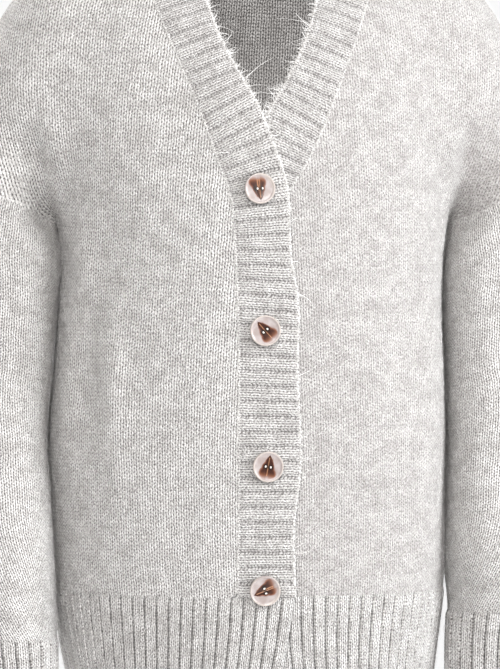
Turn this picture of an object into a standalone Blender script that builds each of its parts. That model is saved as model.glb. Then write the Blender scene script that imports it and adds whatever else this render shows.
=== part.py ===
"""Button cardigan, worn: a hollow knitted garment that keeps its filled-out form, with nobody inside.

Metres, +Z up. The wearer faces -Y, so the wearer's right is -X. The origin is the middle of the neck at
the height of the shoulders. Sizes and tables are in millimetres, and MM turns them into metres where a mesh
is made.

Every wall of cloth starts from one surface, the inside of the garment on a general figure: level sections
of the torso and of the two arms, run into each other over the shoulders. A panel is a grid of points on
that surface, and its outer skin is the same grid moved out. Ribs are raised in the outer skin alone.
"""

import math

import bmesh
import bpy
import numpy as np
from mathutils import Matrix, Vector

MM = 0.001

# ---- cloth ----
WALL = 3.0  # thickness of the knitted cloth
RIB_HEIGHT = 1.4  # how far a rib stands proud of the valley beside it
SEAM_GAP = 0.3  # between two pieces sewn together
BAND_GAP = 0.75  # the same along the band, whose straight steps cut the corners of the seam
HEM_RIB = 10.4  # one rib and one valley, measured along the hem
BAND_RIB = 12.2
CUFF_RIB = 11.6

# ---- heights ----
UNDERARM_Z = -266.0
HEM_TOP_Z = -574.0
HEM_MIDDLE_Z = -606.0
HEM_BOTTOM_Z = -649.0
ARMHOLE_RISE = 0.39  # the armhole seam climbs this much for each millimetre outwards from the underarm
CUFF_TOP_Z = {"right": -611.0, "left": -594.0}
CUFF_LENGTH = 78.0

# ---- closing ----
OVERLAP_LIFT = WALL + RIB_HEIGHT + 0.9  # the right front lies on the left band by this much
LIFT_FROM_X, LIFT_FULL_X = -93.0, -23.0  # the right front comes up to that height between these
LIFT_FROM_Z, LIFT_FULL_Z = -110.0, -180.0

# ---- buttons ----
BUTTON_DIAMETER = 25.0
BUTTON_THICKNESS = 3.6
BUTTON_RIM = 2.2
BUTTON_DISH = 0.9  # how far the face lies below the rim
RIM_SLOPE = 1.0  # from the top of the rim down to the face
BACK_CHAMFER_WIDTH, BACK_CHAMFER_HEIGHT = 0.8, 1.2
FRONT_CHAMFER = 0.7
BUTTON_CLEARANCE = 0.7  # between the back of a button and the ribs under it
SHANK_DIAMETER = 3.0
GROOVE_LENGTH, GROOVE_WIDTH, GROOVE_DEPTH = 16.0, 2.2, 1.2
THREAD_HOLE_DIAMETER, THREAD_HOLE_SPACING, THREAD_HOLE_DEPTH = 1.8, 4.2, 2.2
BUTTONHOLE_LENGTH, BUTTONHOLE_WIDTH = 15.0, 3.6
BUTTON_SIDES = 20

# ---- grid of the panels ----
FRONT_COLUMNS = 8
NECK_COLUMNS = 6
YOKE_ROWS = 10
SLEEVE_ROWS = 13
PANEL_HEIGHTS = (HEM_TOP_Z, -542, -510, -478, -446, -414, -382, -350, -320, -296, -279, UNDERARM_Z)
UNDERARM_CROWDING = 1.3  # above 1, the armhole's points lie closer together at the underarm
SHOULDER_CROWDING = 1.35  # the same along the band, at the shoulder seam
SLEEVE_CROWDING = 1.12  # the same down the sleeve, at its top
SETTLING_ROUNDS = 25
FINE_STEPS = 400  # points of a line that is measured before it is divided up
RIB_POINTS = ((0.0, 0.0), (0.32, 1.0), (0.68, 1.0))  # place along one repeat, share of the rib's height

TORSO_FRONT = 130.0  # about how far the front lies from the middle
# The inside of the body: half widths to the wearer's right and left, depths to the front and back.
TORSO_POWER = 2.5
TORSO = (
    # z, right, left, front, back
    (40, 56, 56, 44, 62),
    (12, 62, 62, 45, 74),
    (2, 72, 72, 48, 80),
    (-13, 113, 113, 57, 88),
    (-40, 152, 152, 69, 101),
    (-75, 172, 171, 87, 114),
    (-110, 180, 174, 105, 124),
    (-150, 179, 171, 118, 131),
    (-187, 174, 167, 126, 134),
    (-230, 168, 163, 131, 134),
    (-266, 162, 161, 133, 132),
    (-300, 160, 159, 134, 130),
    (-340, 163, 158, 134, 129),
    (-390, 167, 160, 134, 130),
    (-446, 173, 161, 133, 132),
    (-500, 172, 160, 131, 133),
    (-574, 168, 157, 127, 130),
    (-606, 163, 153, 122, 125),
    (-652, 154, 146, 115, 118),
)

# The inside of each sleeve: middle, and half width across (x) and from front to back (y).
ARMS = {
    "right": (
        # z, middle x, middle y, half x, half y
        (10, 50, 5, 10, 10),
        (-20, 92, 5, 24, 30),
        (-50, 134, 5, 38, 47),
        (-110, 172, 4, 49, 61),
        (-170, 192, 1, 52, 66),
        (-231, 209, -1, 50, 66),
        (-266, 216, -2, 46, 65),
        (-300, 214.5, -4, 47.5, 65),
        (-340, 217.5, -8, 47.5, 64),
        (-390, 220.8, -16, 47, 63),
        (-446, 224, -29, 45, 62),
        (-500, 222, -43, 46, 60),
        (-560, 214.5, -57, 42, 54),
        (-600, 208, -64, 37, 45),
        (-620, 205, -67, 34, 38),
        (-700, 205, -74, 33, 35),
    ),
    "left": (
        (10, 50, 5, 10, 10),
        (-20, 92, 5, 24, 30),
        (-50, 134, 5, 38, 47),
        (-110, 172, 4, 49, 61),
        (-170, 192, 1, 52, 66),
        (-231, 208, 0, 50, 66),
        (-266, 215, 0, 46, 65),
        (-300, 213.5, -2, 47.5, 65),
        (-340, 212.5, -4, 47.5, 64),
        (-390, 214.5, -8, 47.5, 63),
        (-446, 216, -16, 48, 62),
        (-500, 213.7, -25, 47, 59),
        (-550, 210.5, -33, 43, 52),
        (-584, 207, -37, 37, 43),
        (-604, 204, -39, 34, 38),
        (-690, 203, -44, 33, 35),
    ),
}

LEAST_BLEND = 4.0
# How widely the torso and an arm run into each other. It dies away at the underarm.
BLEND = (
    # z, width
    (40, 10),
    (-20, 16),
    (-60, 30),
    (-130, 52),
    (-200, 62),
    (-240, 40),
    (-266, 17),
    (-285, 5),
    (-320, 5),
    (-700, 5),
)

# The button band of the right front, from the hem up the front, over the shoulder and to the centre back.
# The left band is its mirror image, moved towards the wearer's right where it lies under the right one.
BAND = (
    # seam x, y, z, free edge x, y, z, left band's move
    (-23.0, -127, -574, 22.5, -127, -574, 0),
    (-22.5, -130, -520, 20.8, -130, -520, 3),
    (-22.5, -132, -463, 26.0, -132, -463, 3),
    (-22.5, -134, -390, 23.5, -134, -392, 3),
    (-23.5, -134, -333, 24.0, -134, -336, 4),
    (-25.0, -134, -298, 18.2, -134, -298, 8),
    (-28.4, -132, -252, 15.8, -132, -244, 11),
    (-37.4, -130, -225, 4.6, -129, -207, 6),
    (-47.0, -126, -196, -8.5, -123, -174, 1),
    (-58.0, -119, -166, -21.5, -116, -150, 0),
    (-72.0, -107, -131, -37.0, -103, -117, 0),
    (-86.0, -87, -93, -48.0, -84, -80, 0),
    (-102.0, -62, -50, -58.0, -52, -38, 0),
    (-113.0, -30, -22, -67.0, -20, -5, 0),
    (-117.0, 5, -12, -70.0, 8, 3, 0),
    (-107.0, 47, -17, -63.0, 38, 9, 0),
    (-80.0, 78, -26, -46.0, 60, 12, 0),
    (-42.0, 94, -32, -24.0, 72, 12, 0),
    (0.0, 99, -34, 0.0, 76, 12, 0),
)
BAND_SHOULDER = 14  # the row of BAND where the shoulder seam meets it
HEM_FRONT_EDGE = ((-574, 22.5), (-606, 19.0), (-649, 11.0))  # z, x of the free edge below the band

# The shoulder seam, from the band out to the overarm.
SHOULDER = (
    # x, y, z
    (117, 5, -14),
    (148, 5, -33),
    (176, 5, -55),
    (200, 4, -82),
    (224, 2, -117),
    (241, 0, -161),
    (258, -2, -232),
)

# Soft folds: middle, direction along the fold, half length, half width, height (negative in a trough).
FOLDS = (
    # x, y, z, along x, y, z, half length, half width, height
    (-200, -66, -205, 0.7, 0.0, -0.7, 46, 17, -5.0),
    (198, -66, -205, -0.7, 0.0, -0.7, 46, 17, -5.0),
    (-150, -95, -300, 0.45, -0.1, -0.9, 70, 20, -3.5),
    (-158, -70, -420, -0.15, 0.0, -1.0, 60, 18, 4.0),
    (150, -95, -285, -0.45, -0.1, -0.9, 60, 20, -3.0),
    (130, -112, -500, -0.1, 0.0, -1.0, 80, 26, 3.0),
    (-215, -75, -385, 0.8, 0.0, -0.5, 42, 15, -4.5),
    (-222, -92, -480, 0.9, 0.0, 0.3, 40, 16, -4.5),
    (-262, -30, -330, 0.0, 0.7, -0.6, 45, 18, -5.0),
    (-262, -50, -450, 0.0, 0.8, -0.4, 45, 18, -5.5),
    (214, -70, -380, -0.8, 0.0, -0.5, 42, 15, -4.5),
    (216, -80, -475, -0.9, 0.0, 0.3, 40, 16, -4.5),
    (260, -15, -330, 0.0, 0.7, -0.6, 45, 18, -5.0),
    (258, -30, -450, 0.0, 0.8, -0.4, 45, 18, -5.5),
    (-225, 55, -420, 0.7, 0.2, -0.6, 50, 18, -5.0),
    (222, 55, -420, -0.7, 0.2, -0.6, 50, 18, -5.0),
    (0, 134, -150, 1.0, 0.0, 0.0, 90, 24, -3.0),
    (-110, 118, -330, 0.5, 0.2, -0.8, 90, 26, -4.0),
    (110, 118, -330, -0.5, 0.2, -0.8, 90, 26, -4.0),
    (-45, 132, -470, 0.1, 0.0, -1.0, 95, 30, 4.0),
    (60, 130, -490, -0.1, 0.0, -1.0, 80, 28, 3.5),
)

# Buttons: middle, and how far the groove is turned from upright as seen from the front, anticlockwise.
BUTTONS = (
    # x, z, turn in degrees
    (-5.7, -243.6, 184),
    (-1.6, -358.0, 42),
    (0.8, -467.7, -10),
    (-1.2, -567.6, 111),
)


# ---- the surface ----


def read(table, at):
    """Every column of a table at the places given in its first column, on a smooth curve through its rows."""
    rows = np.array(sorted(table), float)
    places, values = rows[:, 0], rows[:, 1:]
    slopes = np.gradient(values, places, axis=0)
    at = np.clip(np.asarray(at, float), places[0], places[-1])
    row = np.clip(np.searchsorted(places, at) - 1, 0, len(places) - 2)
    span = (places[row + 1] - places[row])[..., None]
    t = (at - places[row])[..., None] / span
    start = (1 + 2 * t) * (1 - t) ** 2 * values[row] + t * (1 - t) ** 2 * span * slopes[row]
    end = t * t * (3 - 2 * t) * values[row + 1] - t * t * (1 - t) * span * slopes[row + 1]
    return np.moveaxis(start + end, -1, 0)


def outside_of_oval(across, along, half_across, half_along, power):
    """About how far points lie outside an oval round (0, 0), in their own level plane."""
    a, b = np.abs(across) / half_across, np.abs(along) / half_along
    size = np.maximum((a**power + b**power) ** (1 / power), 1e-6)
    slope_a = (a / size) ** (power - 1) / half_across
    slope_b = (b / size) ** (power - 1) / half_along
    return (size - 1) / np.hypot(slope_a, slope_b)


def outside_torso(points):
    x, y, z = np.moveaxis(points, -1, 0)
    right, left, front, back = read(TORSO, z)
    return outside_of_oval(x, y, np.where(x < 0, right, left), np.where(y < 0, front, back), TORSO_POWER)


def outside_arm(points, side):
    x, y, z = np.moveaxis(points, -1, 0)
    middle_x, middle_y, half_x, half_y = read(ARMS[side], z)
    outwards = -x if side == "right" else x
    return outside_of_oval(outwards - middle_x, y - middle_y, half_x, half_y, 2.0)


def run_together(first, second, width):
    """The nearer of two distances, rounded off where they are alike."""
    share = np.clip(0.5 + 0.5 * (second - first) / width, 0, 1)
    return second * (1 - share) + first * share - width * share * (1 - share)


def outside_body(points):
    width = np.maximum(read(BLEND, points[..., 2])[0], LEAST_BLEND)
    near = run_together(outside_torso(points), outside_arm(points, "right"), width)
    return run_together(near, outside_arm(points, "left"), width)


def outside_sleeve_right(points):
    return outside_arm(points, "right")


def outside_sleeve_left(points):
    return outside_arm(points, "left")


def slope_of(outside, points):
    step = 0.5
    slope = np.empty_like(points)
    for axis in range(3):
        shift = np.zeros(3)
        shift[axis] = step
        slope[..., axis] = (outside(points + shift) - outside(points - shift)) / (2 * step)
    return slope


def settle(points, outside):
    """Points moved square to the surface until they lie on it."""
    points = np.array(points, float)
    for _ in range(SETTLING_ROUNDS):
        slope = slope_of(outside, points)
        steep = np.maximum((slope**2).sum(axis=-1), 0.02)
        step = np.clip(outside(points) / steep, -25, 25)
        points -= 0.8 * step[..., None] * slope
    return points


def settle_front(points, outside):
    """Points moved along y alone until they lie on the surface, so that from the front they stay put."""
    points = np.array(points, float)
    for _ in range(SETTLING_ROUNDS):
        slope = slope_of(outside, points)[..., 1]
        slope = np.where(np.abs(slope) < 0.2, -0.2, slope)
        points[..., 1] -= np.clip(outside(points) / slope, -20, 20)
    return points


def unit(vectors):
    return vectors / np.maximum(np.linalg.norm(vectors, axis=-1, keepdims=True), 1e-9)


def rise(amount):
    """0 to 1 as the amount goes from 0 to 1, with soft ends."""
    amount = np.clip(amount, 0, 1)
    return amount * amount * (3 - 2 * amount)


def fold_height(points):
    height = np.zeros(points.shape[:-1])
    for x, y, z, along_x, along_y, along_z, half_length, half_width, size in FOLDS:
        away = points - (x, y, z)
        direction = unit(np.array((along_x, along_y, along_z)))
        along = away @ direction
        across = np.linalg.norm(away - along[..., None] * direction, axis=-1)
        height += size * np.exp(-((along / half_length) ** 2) - (across / half_width) ** 2)
    return height


def overlap_height(points):
    """How far the right front and its band are lifted over the left band."""
    across = rise((points[..., 0] - LIFT_FROM_X) / (LIFT_FULL_X - LIFT_FROM_X))
    upright = rise((points[..., 2] - LIFT_FROM_Z) / (LIFT_FULL_Z - LIFT_FROM_Z))
    front = rise(-points[..., 1] / 40)
    return OVERLAP_LIFT * across * upright * front


def skins(points, outside, lifted=False):
    """The points of a wall's inner skin and the way out from each, with the folds and the overlap put in."""
    way_out = unit(slope_of(outside, points))
    height = fold_height(points)
    if lifted:
        height = height + overlap_height(points)
    return points + height[..., None] * way_out, way_out


# ---- lines and grids of points ----


def spaced(line, shares):
    """Points at these shares of a line's length."""
    steps = np.linalg.norm(np.diff(line, axis=0), axis=1)
    length = np.concatenate([[0], np.cumsum(steps)])
    return np.stack([np.interp(np.asarray(shares) * length[-1], length, column) for column in line.T], axis=1)


def length_of(line):
    return np.linalg.norm(np.diff(line, axis=0), axis=1).sum()


def torso_line(z, x_from, side, back, shares):
    """Points on the torso at one height, from x_from in front or behind to the side seam."""
    right, left, front, depth_back = read(TORSO, z)
    half = float(right if side < 0 else left)
    depth = float(depth_back if back else -front)
    start = math.acos(min(abs(x_from) / half, 1) ** (TORSO_POWER / 2))
    start = math.pi - start if x_from * side < 0 else start
    angle = np.linspace(start, 0, FINE_STEPS)
    cosine, sine = np.cos(angle), np.sin(angle)
    x = side * half * np.sign(cosine) * np.abs(cosine) ** (2 / TORSO_POWER)
    y = depth * np.abs(sine) ** (2 / TORSO_POWER)
    return spaced(np.stack([x, y, np.full_like(x, z)], axis=1), shares)


def band_lines(side, at):
    """The seam and the free edge of the band, at places counted in rows of BAND."""
    table = [(row, *values) for row, values in enumerate(BAND)]
    values = read(table, at)
    seam, edge = np.stack(values[:3], axis=-1), np.stack(values[3:6], axis=-1)
    if side == "left":
        for line in (seam, edge):
            line[..., 0] = -line[..., 0] - values[6]
    at = np.asarray(at, float)
    seen = (at < BAND_SHOULDER - 2.5)[..., None]
    lines = []
    for line in (seam, edge):
        lines.append(np.where(seen, settle_front(line, outside_body), settle(line, outside_body)))
    return lines


def band_place(z):
    """The row of BAND, as a fraction, whose seam is at this height on the front."""
    rows = np.arange(0, BAND_SHOULDER + 0.01, 0.05)
    table = [(row, values[2]) for row, values in enumerate(BAND)]
    return float(np.interp(z, read(table, rows)[0], rows))


def around_arm():
    """Shares of the way from the underarm to the overarm."""
    return np.linspace(0, 1, YOKE_ROWS + 1) ** UNDERARM_CROWDING


def armhole_line(side, back):
    """The armhole seam, from the underarm round the front or the back of the arm to the overarm."""
    turn = math.pi * (1 - around_arm())
    sign = -1.0 if side == "right" else 1.0
    z = np.full_like(turn, UNDERARM_Z)
    for _ in range(6):
        middle_x, middle_y, half_x, half_y = read(ARMS[side], z)
        x = middle_x + half_x * np.cos(turn)
        y = middle_y + half_y * np.sin(turn) * (1 if back else -1)
        z = UNDERARM_Z + ARMHOLE_RISE * (x - underarm_x(side))
    line = settle(np.stack([sign * x, y, z], axis=1), outside_body)
    line[0] = (sign * underarm_x(side), 0, UNDERARM_Z)
    line[-1] = settle(np.array(SHOULDER[-1]) * (sign, 1, 1), outside_body)
    return line


def underarm_x(side):
    """Halfway between the torso and the arm at the underarm."""
    right, left, _, _ = read(TORSO, UNDERARM_Z)
    middle_x, _, half_x, _ = read(ARMS[side], UNDERARM_Z)
    return float(((right if side == "right" else left) + middle_x - half_x) / 2)


def shoulder_line(side):
    sign = -1.0 if side == "right" else 1.0
    line = np.array(SHOULDER, float) * (sign, 1, 1)
    table = [(row, *values) for row, values in enumerate(line)]
    fine = read(table, np.linspace(0, len(line) - 1, FINE_STEPS)).T
    line = settle(spaced(fine, np.linspace(0, 1, FRONT_COLUMNS + 1)), outside_body)
    line[0] = band_lines(side, BAND_SHOULDER)[0]
    line[-1] = armhole_line(side, False)[-1]
    return line


def between(bottom, top, inner, outer):
    """A grid filled in between four edges that meet at its corners: rows run up, columns run outwards."""
    u = np.linspace(0, 1, len(bottom))[None, :, None]
    v = np.linspace(0, 1, len(inner))[:, None, None]
    edges = (1 - v) * bottom[None] + v * top[None] + (1 - u) * inner[:, None] + u * outer[:, None]
    lower_corners = (1 - u) * bottom[0] + u * bottom[-1]
    upper_corners = (1 - u) * top[0] + u * top[-1]
    return edges - (1 - v) * lower_corners - v * upper_corners


def evened(grid, outside, rounds=12):
    """A grid whose inner points are spread evenly over the surface, with its edges left where they are."""
    for _ in range(rounds):
        for _ in range(4):
            sides = grid[1:-1, :-2] + grid[1:-1, 2:] + grid[:-2, 1:-1] + grid[2:, 1:-1]
            grid[1:-1, 1:-1] = sides / 4
        grid[1:-1, 1:-1] = settle(grid[1:-1, 1:-1], outside)
    return grid


def with_yoke(lower, edges):
    """A panel's lower rows and the yoke above them, on the surface."""
    yoke = between(*edges)
    yoke[1:-1, 1:-1] = settle(yoke[1:-1, 1:-1], outside_body)
    return np.concatenate([lower[:-1], evened(yoke, outside_body)])


def yoke_places():
    """The places in rows of BAND where the yoke's rows meet the band."""
    share = 1 - np.linspace(1, 0, YOKE_ROWS + 1) ** SHOULDER_CROWDING
    return band_place(UNDERARM_Z) + share * (BAND_SHOULDER - band_place(UNDERARM_Z))


def neck_places():
    """The same for the back's columns, from the shoulder seam to the centre back."""
    share = np.linspace(0, 1, NECK_COLUMNS + 1) ** SHOULDER_CROWDING
    return BAND_SHOULDER + share * (len(BAND) - 1 - BAND_SHOULDER)


def front_grid(side):
    sign = -1.0 if side == "right" else 1.0
    shares = np.linspace(0, 1, FRONT_COLUMNS + 1)
    rows = []
    for z in PANEL_HEIGHTS:
        seam = band_lines(side, band_place(z))[0]
        rows.append(torso_line(z, seam[0], sign, False, shares))
    lower = np.array(rows)
    bottom = lower[-1] = settle(lower[-1], outside_body)
    bottom[-1] = (sign * underarm_x(side), 0, UNDERARM_Z)
    inner = band_lines(side, yoke_places())[0]
    inner[0] = bottom[0]
    return with_yoke(lower, (bottom, shoulder_line(side), inner, armhole_line(side, False)))


def neck_line(side):
    """The back neck seam of one half, from the centre back to the shoulder seam."""
    return band_lines(side, neck_places()[::-1])[0]


def back_half(side):
    sign = -1.0 if side == "right" else 1.0
    columns = NECK_COLUMNS + FRONT_COLUMNS
    shares = np.linspace(0, 1, columns + 1)
    lower = np.array([torso_line(z, 0.0, sign, True, shares) for z in PANEL_HEIGHTS])
    bottom = lower[-1] = settle(lower[-1], outside_body)
    bottom[-1] = (sign * underarm_x(side), 0, UNDERARM_Z)
    top = np.concatenate([neck_line(side)[:-1], shoulder_line(side)])
    centre_back = np.linspace(bottom[0], top[0], YOKE_ROWS + 1)
    centre_back = settle(centre_back + (0, 30, 0), outside_body)
    centre_back[0], centre_back[-1] = bottom[0], top[0]
    return with_yoke(lower, (bottom, top, centre_back, armhole_line(side, True)))


def back_grid():
    """The whole back, from the right side seam to the left one."""
    right, left = back_half("right"), back_half("left")
    return np.concatenate([right[:, ::-1], left[:, 1:]], axis=1)


def sleeve_turns():
    """The angles of a sleeve's points: from the underarm over the front to the overarm, and back behind."""
    front = math.pi * (1 - around_arm())
    return np.concatenate([front, -front[-2:0:-1]])


def sleeve_rings(side):
    """Rings of points down a sleeve: the first is the armhole seam, the last the top of the cuff."""
    sign = -1.0 if side == "right" else 1.0
    front, back = armhole_line(side, False), armhole_line(side, True)
    rings = [np.concatenate([front, back[-2:0:-1]])]
    outside = outside_sleeve_right if side == "right" else outside_sleeve_left
    turn = sleeve_turns()
    for share in np.linspace(0, 1, SLEEVE_ROWS + 1)[1:] ** SLEEVE_CROWDING:
        z = np.full_like(turn, UNDERARM_Z)
        level = UNDERARM_Z + share * (CUFF_TOP_Z[side] - UNDERARM_Z)
        for _ in range(6):
            middle_x, middle_y, half_x, half_y = read(ARMS[side], z)
            x = middle_x + half_x * np.cos(turn)
            y = middle_y - half_y * np.sin(turn)
            z = level + (1 - share) * ARMHOLE_RISE * (x - underarm_x(side))
        rings.append(settle(np.stack([sign * x, y, z], axis=1), outside))
    return np.array(rings)


# ---- meshes ----


def material(name, colour, roughness):
    made = bpy.data.materials.new(name)
    made.use_nodes = True
    shader = made.node_tree.nodes["Principled BSDF"]
    shader.inputs["Base Color"].default_value = (*colour, 1)
    shader.inputs["Roughness"].default_value = roughness
    return made


def add_object(name, mesh, look):
    mesh.materials.append(look)
    made = bpy.data.objects.new(name, mesh)
    bpy.context.scene.collection.objects.link(made)
    return made


def skin_faces(bm, grid, closed):
    rows, columns = len(grid), len(grid[0])
    for r in range(rows - 1):
        for c in range(columns if closed else columns - 1):
            d = (c + 1) % columns
            bm.faces.new((grid[r][c], grid[r][d], grid[r + 1][d], grid[r + 1][c]))


def rim_faces(bm, inner, outer, closed=False):
    """Faces that join the edge of the inner skin to that of the outer, which may have more points."""
    count = len(inner) if closed else len(inner) - 1
    step = len(outer) // count if closed else (len(outer) - 1) // count
    for i in range(count):
        run = [outer[(i * step + k) % len(outer)] for k in range(step + 1)]
        this, following = inner[i], inner[(i + 1) % len(inner)]
        if step > 1:
            bm.faces.new([following, this] + run)
        elif this.co.z < following.co.z:
            bm.faces.new((following, this, run[1]))
            bm.faces.new((this, run[0], run[1]))
        else:
            bm.faces.new((following, this, run[0]))
            bm.faces.new((following, run[0], run[1]))


def add_wall(name, inner, outer, look, closed=False):
    """One closed wall of cloth from its two skins, each rows by columns. A closed wall is a tube."""
    bm = bmesh.new()
    inside = [[bm.verts.new(p * MM) for p in row] for row in inner]
    outside = [[bm.verts.new(p * MM) for p in row] for row in outer]
    skin_faces(bm, outside, closed)
    skin_faces(bm, inside, closed)
    for row in (0, -1):
        rim_faces(bm, inside[row], outside[row], closed)
    if not closed:
        for column in (0, -1):
            rim_faces(bm, [row[column] for row in inside], [row[column] for row in outside])
    bmesh.ops.recalc_face_normals(bm, faces=bm.faces)
    mesh = bpy.data.meshes.new(name)
    bm.to_mesh(mesh)
    bm.free()
    mesh.shade_smooth()
    mesh.set_sharp_from_angle(angle=math.radians(40))
    return add_object(name, mesh, look)


def draw_back(points, way_out, edge, gap, closed=False):
    """Moves one edge of a grid in from its seam, along the cloth and square to the seam."""
    grid, way = points, way_out
    if edge in ("inner", "outer"):
        grid, way = grid.swapaxes(0, 1), way.swapaxes(0, 1)
    if edge in ("top", "outer"):
        grid, way = grid[::-1], way[::-1]
    if closed:
        seam = unit(np.roll(grid[0], -1, axis=0) - np.roll(grid[0], 1, axis=0))
    else:
        seam = unit(np.gradient(grid[0], axis=0))
    inwards = unit(np.cross(seam, way[0]))
    towards = (grid[1] - grid[0]) / np.linalg.norm(grid[1] - grid[0], axis=-1, keepdims=True)
    middle = len(inwards) // 2
    if (inwards[middle] * towards[middle]).sum() < 0:
        inwards = -inwards
    grid[0] += gap * inwards


def add_panel(name, points, look, lifted, seams):
    """A panel from its grid of points on the surface. Its seams are the edges drawn back from a neighbour."""
    inner, way_out = skins(points, outside_body, lifted)
    low = points[..., 2] < UNDERARM_Z - 1
    torso_way = unit(slope_of(outside_torso, points))
    way_out = np.where(low[..., None], torso_way, way_out)
    for edge in seams:
        draw_back(inner, way_out, edge, SEAM_GAP / 2)
    add_wall(name, inner, inner + WALL * way_out, look)
    return inner, way_out


def rib_shares(repeats):
    """Where the points of the outer skin lie along a ribbed piece, and how far each is raised."""
    places, heights = [], []
    for repeat in range(repeats):
        for place, height in RIB_POINTS:
            places.append((repeat + place) / repeats)
            heights.append(height * RIB_HEIGHT)
    return np.array(places), np.array(heights)


def add_ribbed(name, points, way_out, heights, look, closed=False):
    """A ribbed wall: rows across the ribs' ends, and the ribs raised in the outer skin alone."""
    inner = points[:, :: len(RIB_POINTS)]
    outer = points + (WALL + heights[None, :, None]) * way_out
    return add_wall(name, inner, outer, look, closed)


# ---- the pieces ----


def add_sleeve(side, look):
    rings = sleeve_rings(side)
    outside = outside_sleeve_right if side == "right" else outside_sleeve_left
    inner, way_out = skins(rings, outside)
    inner[0], way_out[0] = skins(rings[0], outside_body)
    draw_back(inner, way_out, "bottom", SEAM_GAP / 2, closed=True)
    add_wall("sleeve_" + side, inner, inner + WALL * way_out, look, closed=True)
    return inner[-1], way_out[-1]


def add_cuff(side, ring, way_out, look):
    """A ribbed tube that takes over from the sleeve's last ring."""
    sign = -1.0 if side == "right" else 1.0
    outside = outside_sleeve_right if side == "right" else outside_sleeve_left
    around = length_of(np.concatenate([ring, ring[:1]]))
    places, heights = rib_shares(round(around / CUFF_RIB))
    turn = math.pi - 2 * math.pi * places
    turns = np.append(sleeve_turns(), -math.pi)
    rows, ways = [], []
    for below in (0.0, 0.5, 1.0):
        if below == 0:
            closed_ring = np.concatenate([ring, ring[:1]])
            closed_way = np.concatenate([way_out, way_out[:1]])
            row = along_panels(-turn, -turns, closed_ring)
            way = along_panels(-turn, -turns, closed_way)
            row[:, 2] -= SEAM_GAP
        else:
            z = np.full_like(turn, CUFF_TOP_Z[side] - below * CUFF_LENGTH)
            middle_x, middle_y, half_x, half_y = read(ARMS[side], z)
            x = sign * (middle_x + half_x * np.cos(turn))
            row = np.stack([x, middle_y - half_y * np.sin(turn), z], axis=1)
            way = unit(slope_of(outside, row))
        rows.append(row)
        ways.append(way)
    add_ribbed("cuff_" + side, np.array(rows), np.array(ways), heights, look, closed=True)


def along_panels(at, places, values):
    return np.stack([np.interp(at, places, column) for column in values.T], axis=1)


def add_band(side, front, back, look):
    """One half of the button band, sewn along the front's inner edge and the back neck."""
    at = np.linspace(0, len(BAND) - 1, FINE_STEPS)
    seam, edge = band_lines(side, at)
    middle = (seam + edge) / 2
    steps = np.concatenate([[0], np.cumsum(np.linalg.norm(np.diff(middle, axis=0), axis=1))])
    shares, heights = rib_shares(round(steps[-1] / BAND_RIB))
    shares, heights = np.append(shares, 1.0), np.append(heights, 0.0)
    at = np.interp(shares * steps[-1], steps, at)
    seam, edge = band_lines(side, at)
    middle = settle((seam + edge) / 2, outside_body)
    lifted = side == "right"
    rows, ways = zip(*(skins(line, outside_body, lifted) for line in (seam, middle, edge)))
    rows, ways = np.array(rows), np.array(ways)
    front_places = [band_place(z) for z in PANEL_HEIGHTS[:-1]]
    places = np.concatenate([front_places, yoke_places(), neck_places()[1:]])
    centre = FRONT_COLUMNS + NECK_COLUMNS
    neck = slice(FRONT_COLUMNS + 1, centre + 1)
    if side == "left":
        neck = slice(-FRONT_COLUMNS - 2, centre - 1, -1)
    edges = [np.concatenate([f[:, 0], b[-1, neck]]) for f, b in zip(front, back)]
    rows[0], ways[0] = (along_panels(at, places, values) for values in edges)
    rows[0] += BAND_GAP * unit(rows[1] - rows[0])
    rows[:, -1, 0] = -SEAM_GAP / 2 if side == "right" else SEAM_GAP / 2
    band = add_ribbed("band_" + side, rows, ways, heights, look)
    return band, rows[:, 0], ways[:, 0]


def add_hem(name, top, top_way, line_at, look, lifted=False, open_start=False):
    """A ribbed hem piece. Its top edge follows the edges that it is sewn to, the rest the figure."""
    places, heights = rib_shares(round(length_of(top) / HEM_RIB))
    places, heights = np.append(places, 1.0), np.append(heights, 0.0)
    length = np.concatenate([[0], np.cumsum(np.linalg.norm(np.diff(top, axis=0), axis=1))])
    row = along_panels(places * length[-1], length, top)
    way = along_panels(places * length[-1], length, top_way)
    row[:, 2] -= SEAM_GAP
    rows, ways = [row], [way]
    for z in (HEM_MIDDLE_Z, HEM_BOTTOM_Z):
        line = line_at(z)
        trim = SEAM_GAP / 2 / length_of(line)
        start = 0.0 if open_start else trim
        row, way = skins(spaced(line, start + places * (1 - trim - start)), outside_torso, lifted)
        rows.append(row)
        ways.append(way)
    add_ribbed(name, np.array(rows), np.array(ways), heights, look)


def add_hems(fronts, back, bands, look):
    many = np.linspace(0, 1, FINE_STEPS)
    for side, sign in (("right", -1.0), ("left", 1.0)):
        top, top_way = (
            np.concatenate([band[:0:-1], front[0]]) for band, front in zip(bands[side], fronts[side])
        )

        def front_line(z, sign=sign):
            edge_x = float(read(HEM_FRONT_EDGE, z)[0])
            return torso_line(z, -sign * edge_x, sign, False, many)

        add_hem("hem_front_" + side, top, top_way, front_line, look, side == "right", open_start=True)

    def back_line(z):
        right, left = (torso_line(z, 0.0, sign, True, many) for sign in (-1.0, 1.0))
        return np.concatenate([right[::-1], left[1:]])

    add_hem("hem_back", back[0][0], back[1][0], back_line, look)


def button_place(x, z, turn):
    """Where a button's axis meets the inside of the cardigan, and the frame that stands on it."""
    point = settle_front(np.array([[x, -TORSO_FRONT, z]]), outside_body)[0]
    way = Vector(unit(slope_of(outside_body, point[None]))[0])
    up = (Vector((0, 0, 1)) - way.z * way).normalized()
    frame = Matrix((up.cross(way), up, way)).transposed().to_4x4()
    return Matrix.Translation(Vector(point) * MM) @ frame @ Matrix.Rotation(math.radians(turn), 4, "Z")


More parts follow.
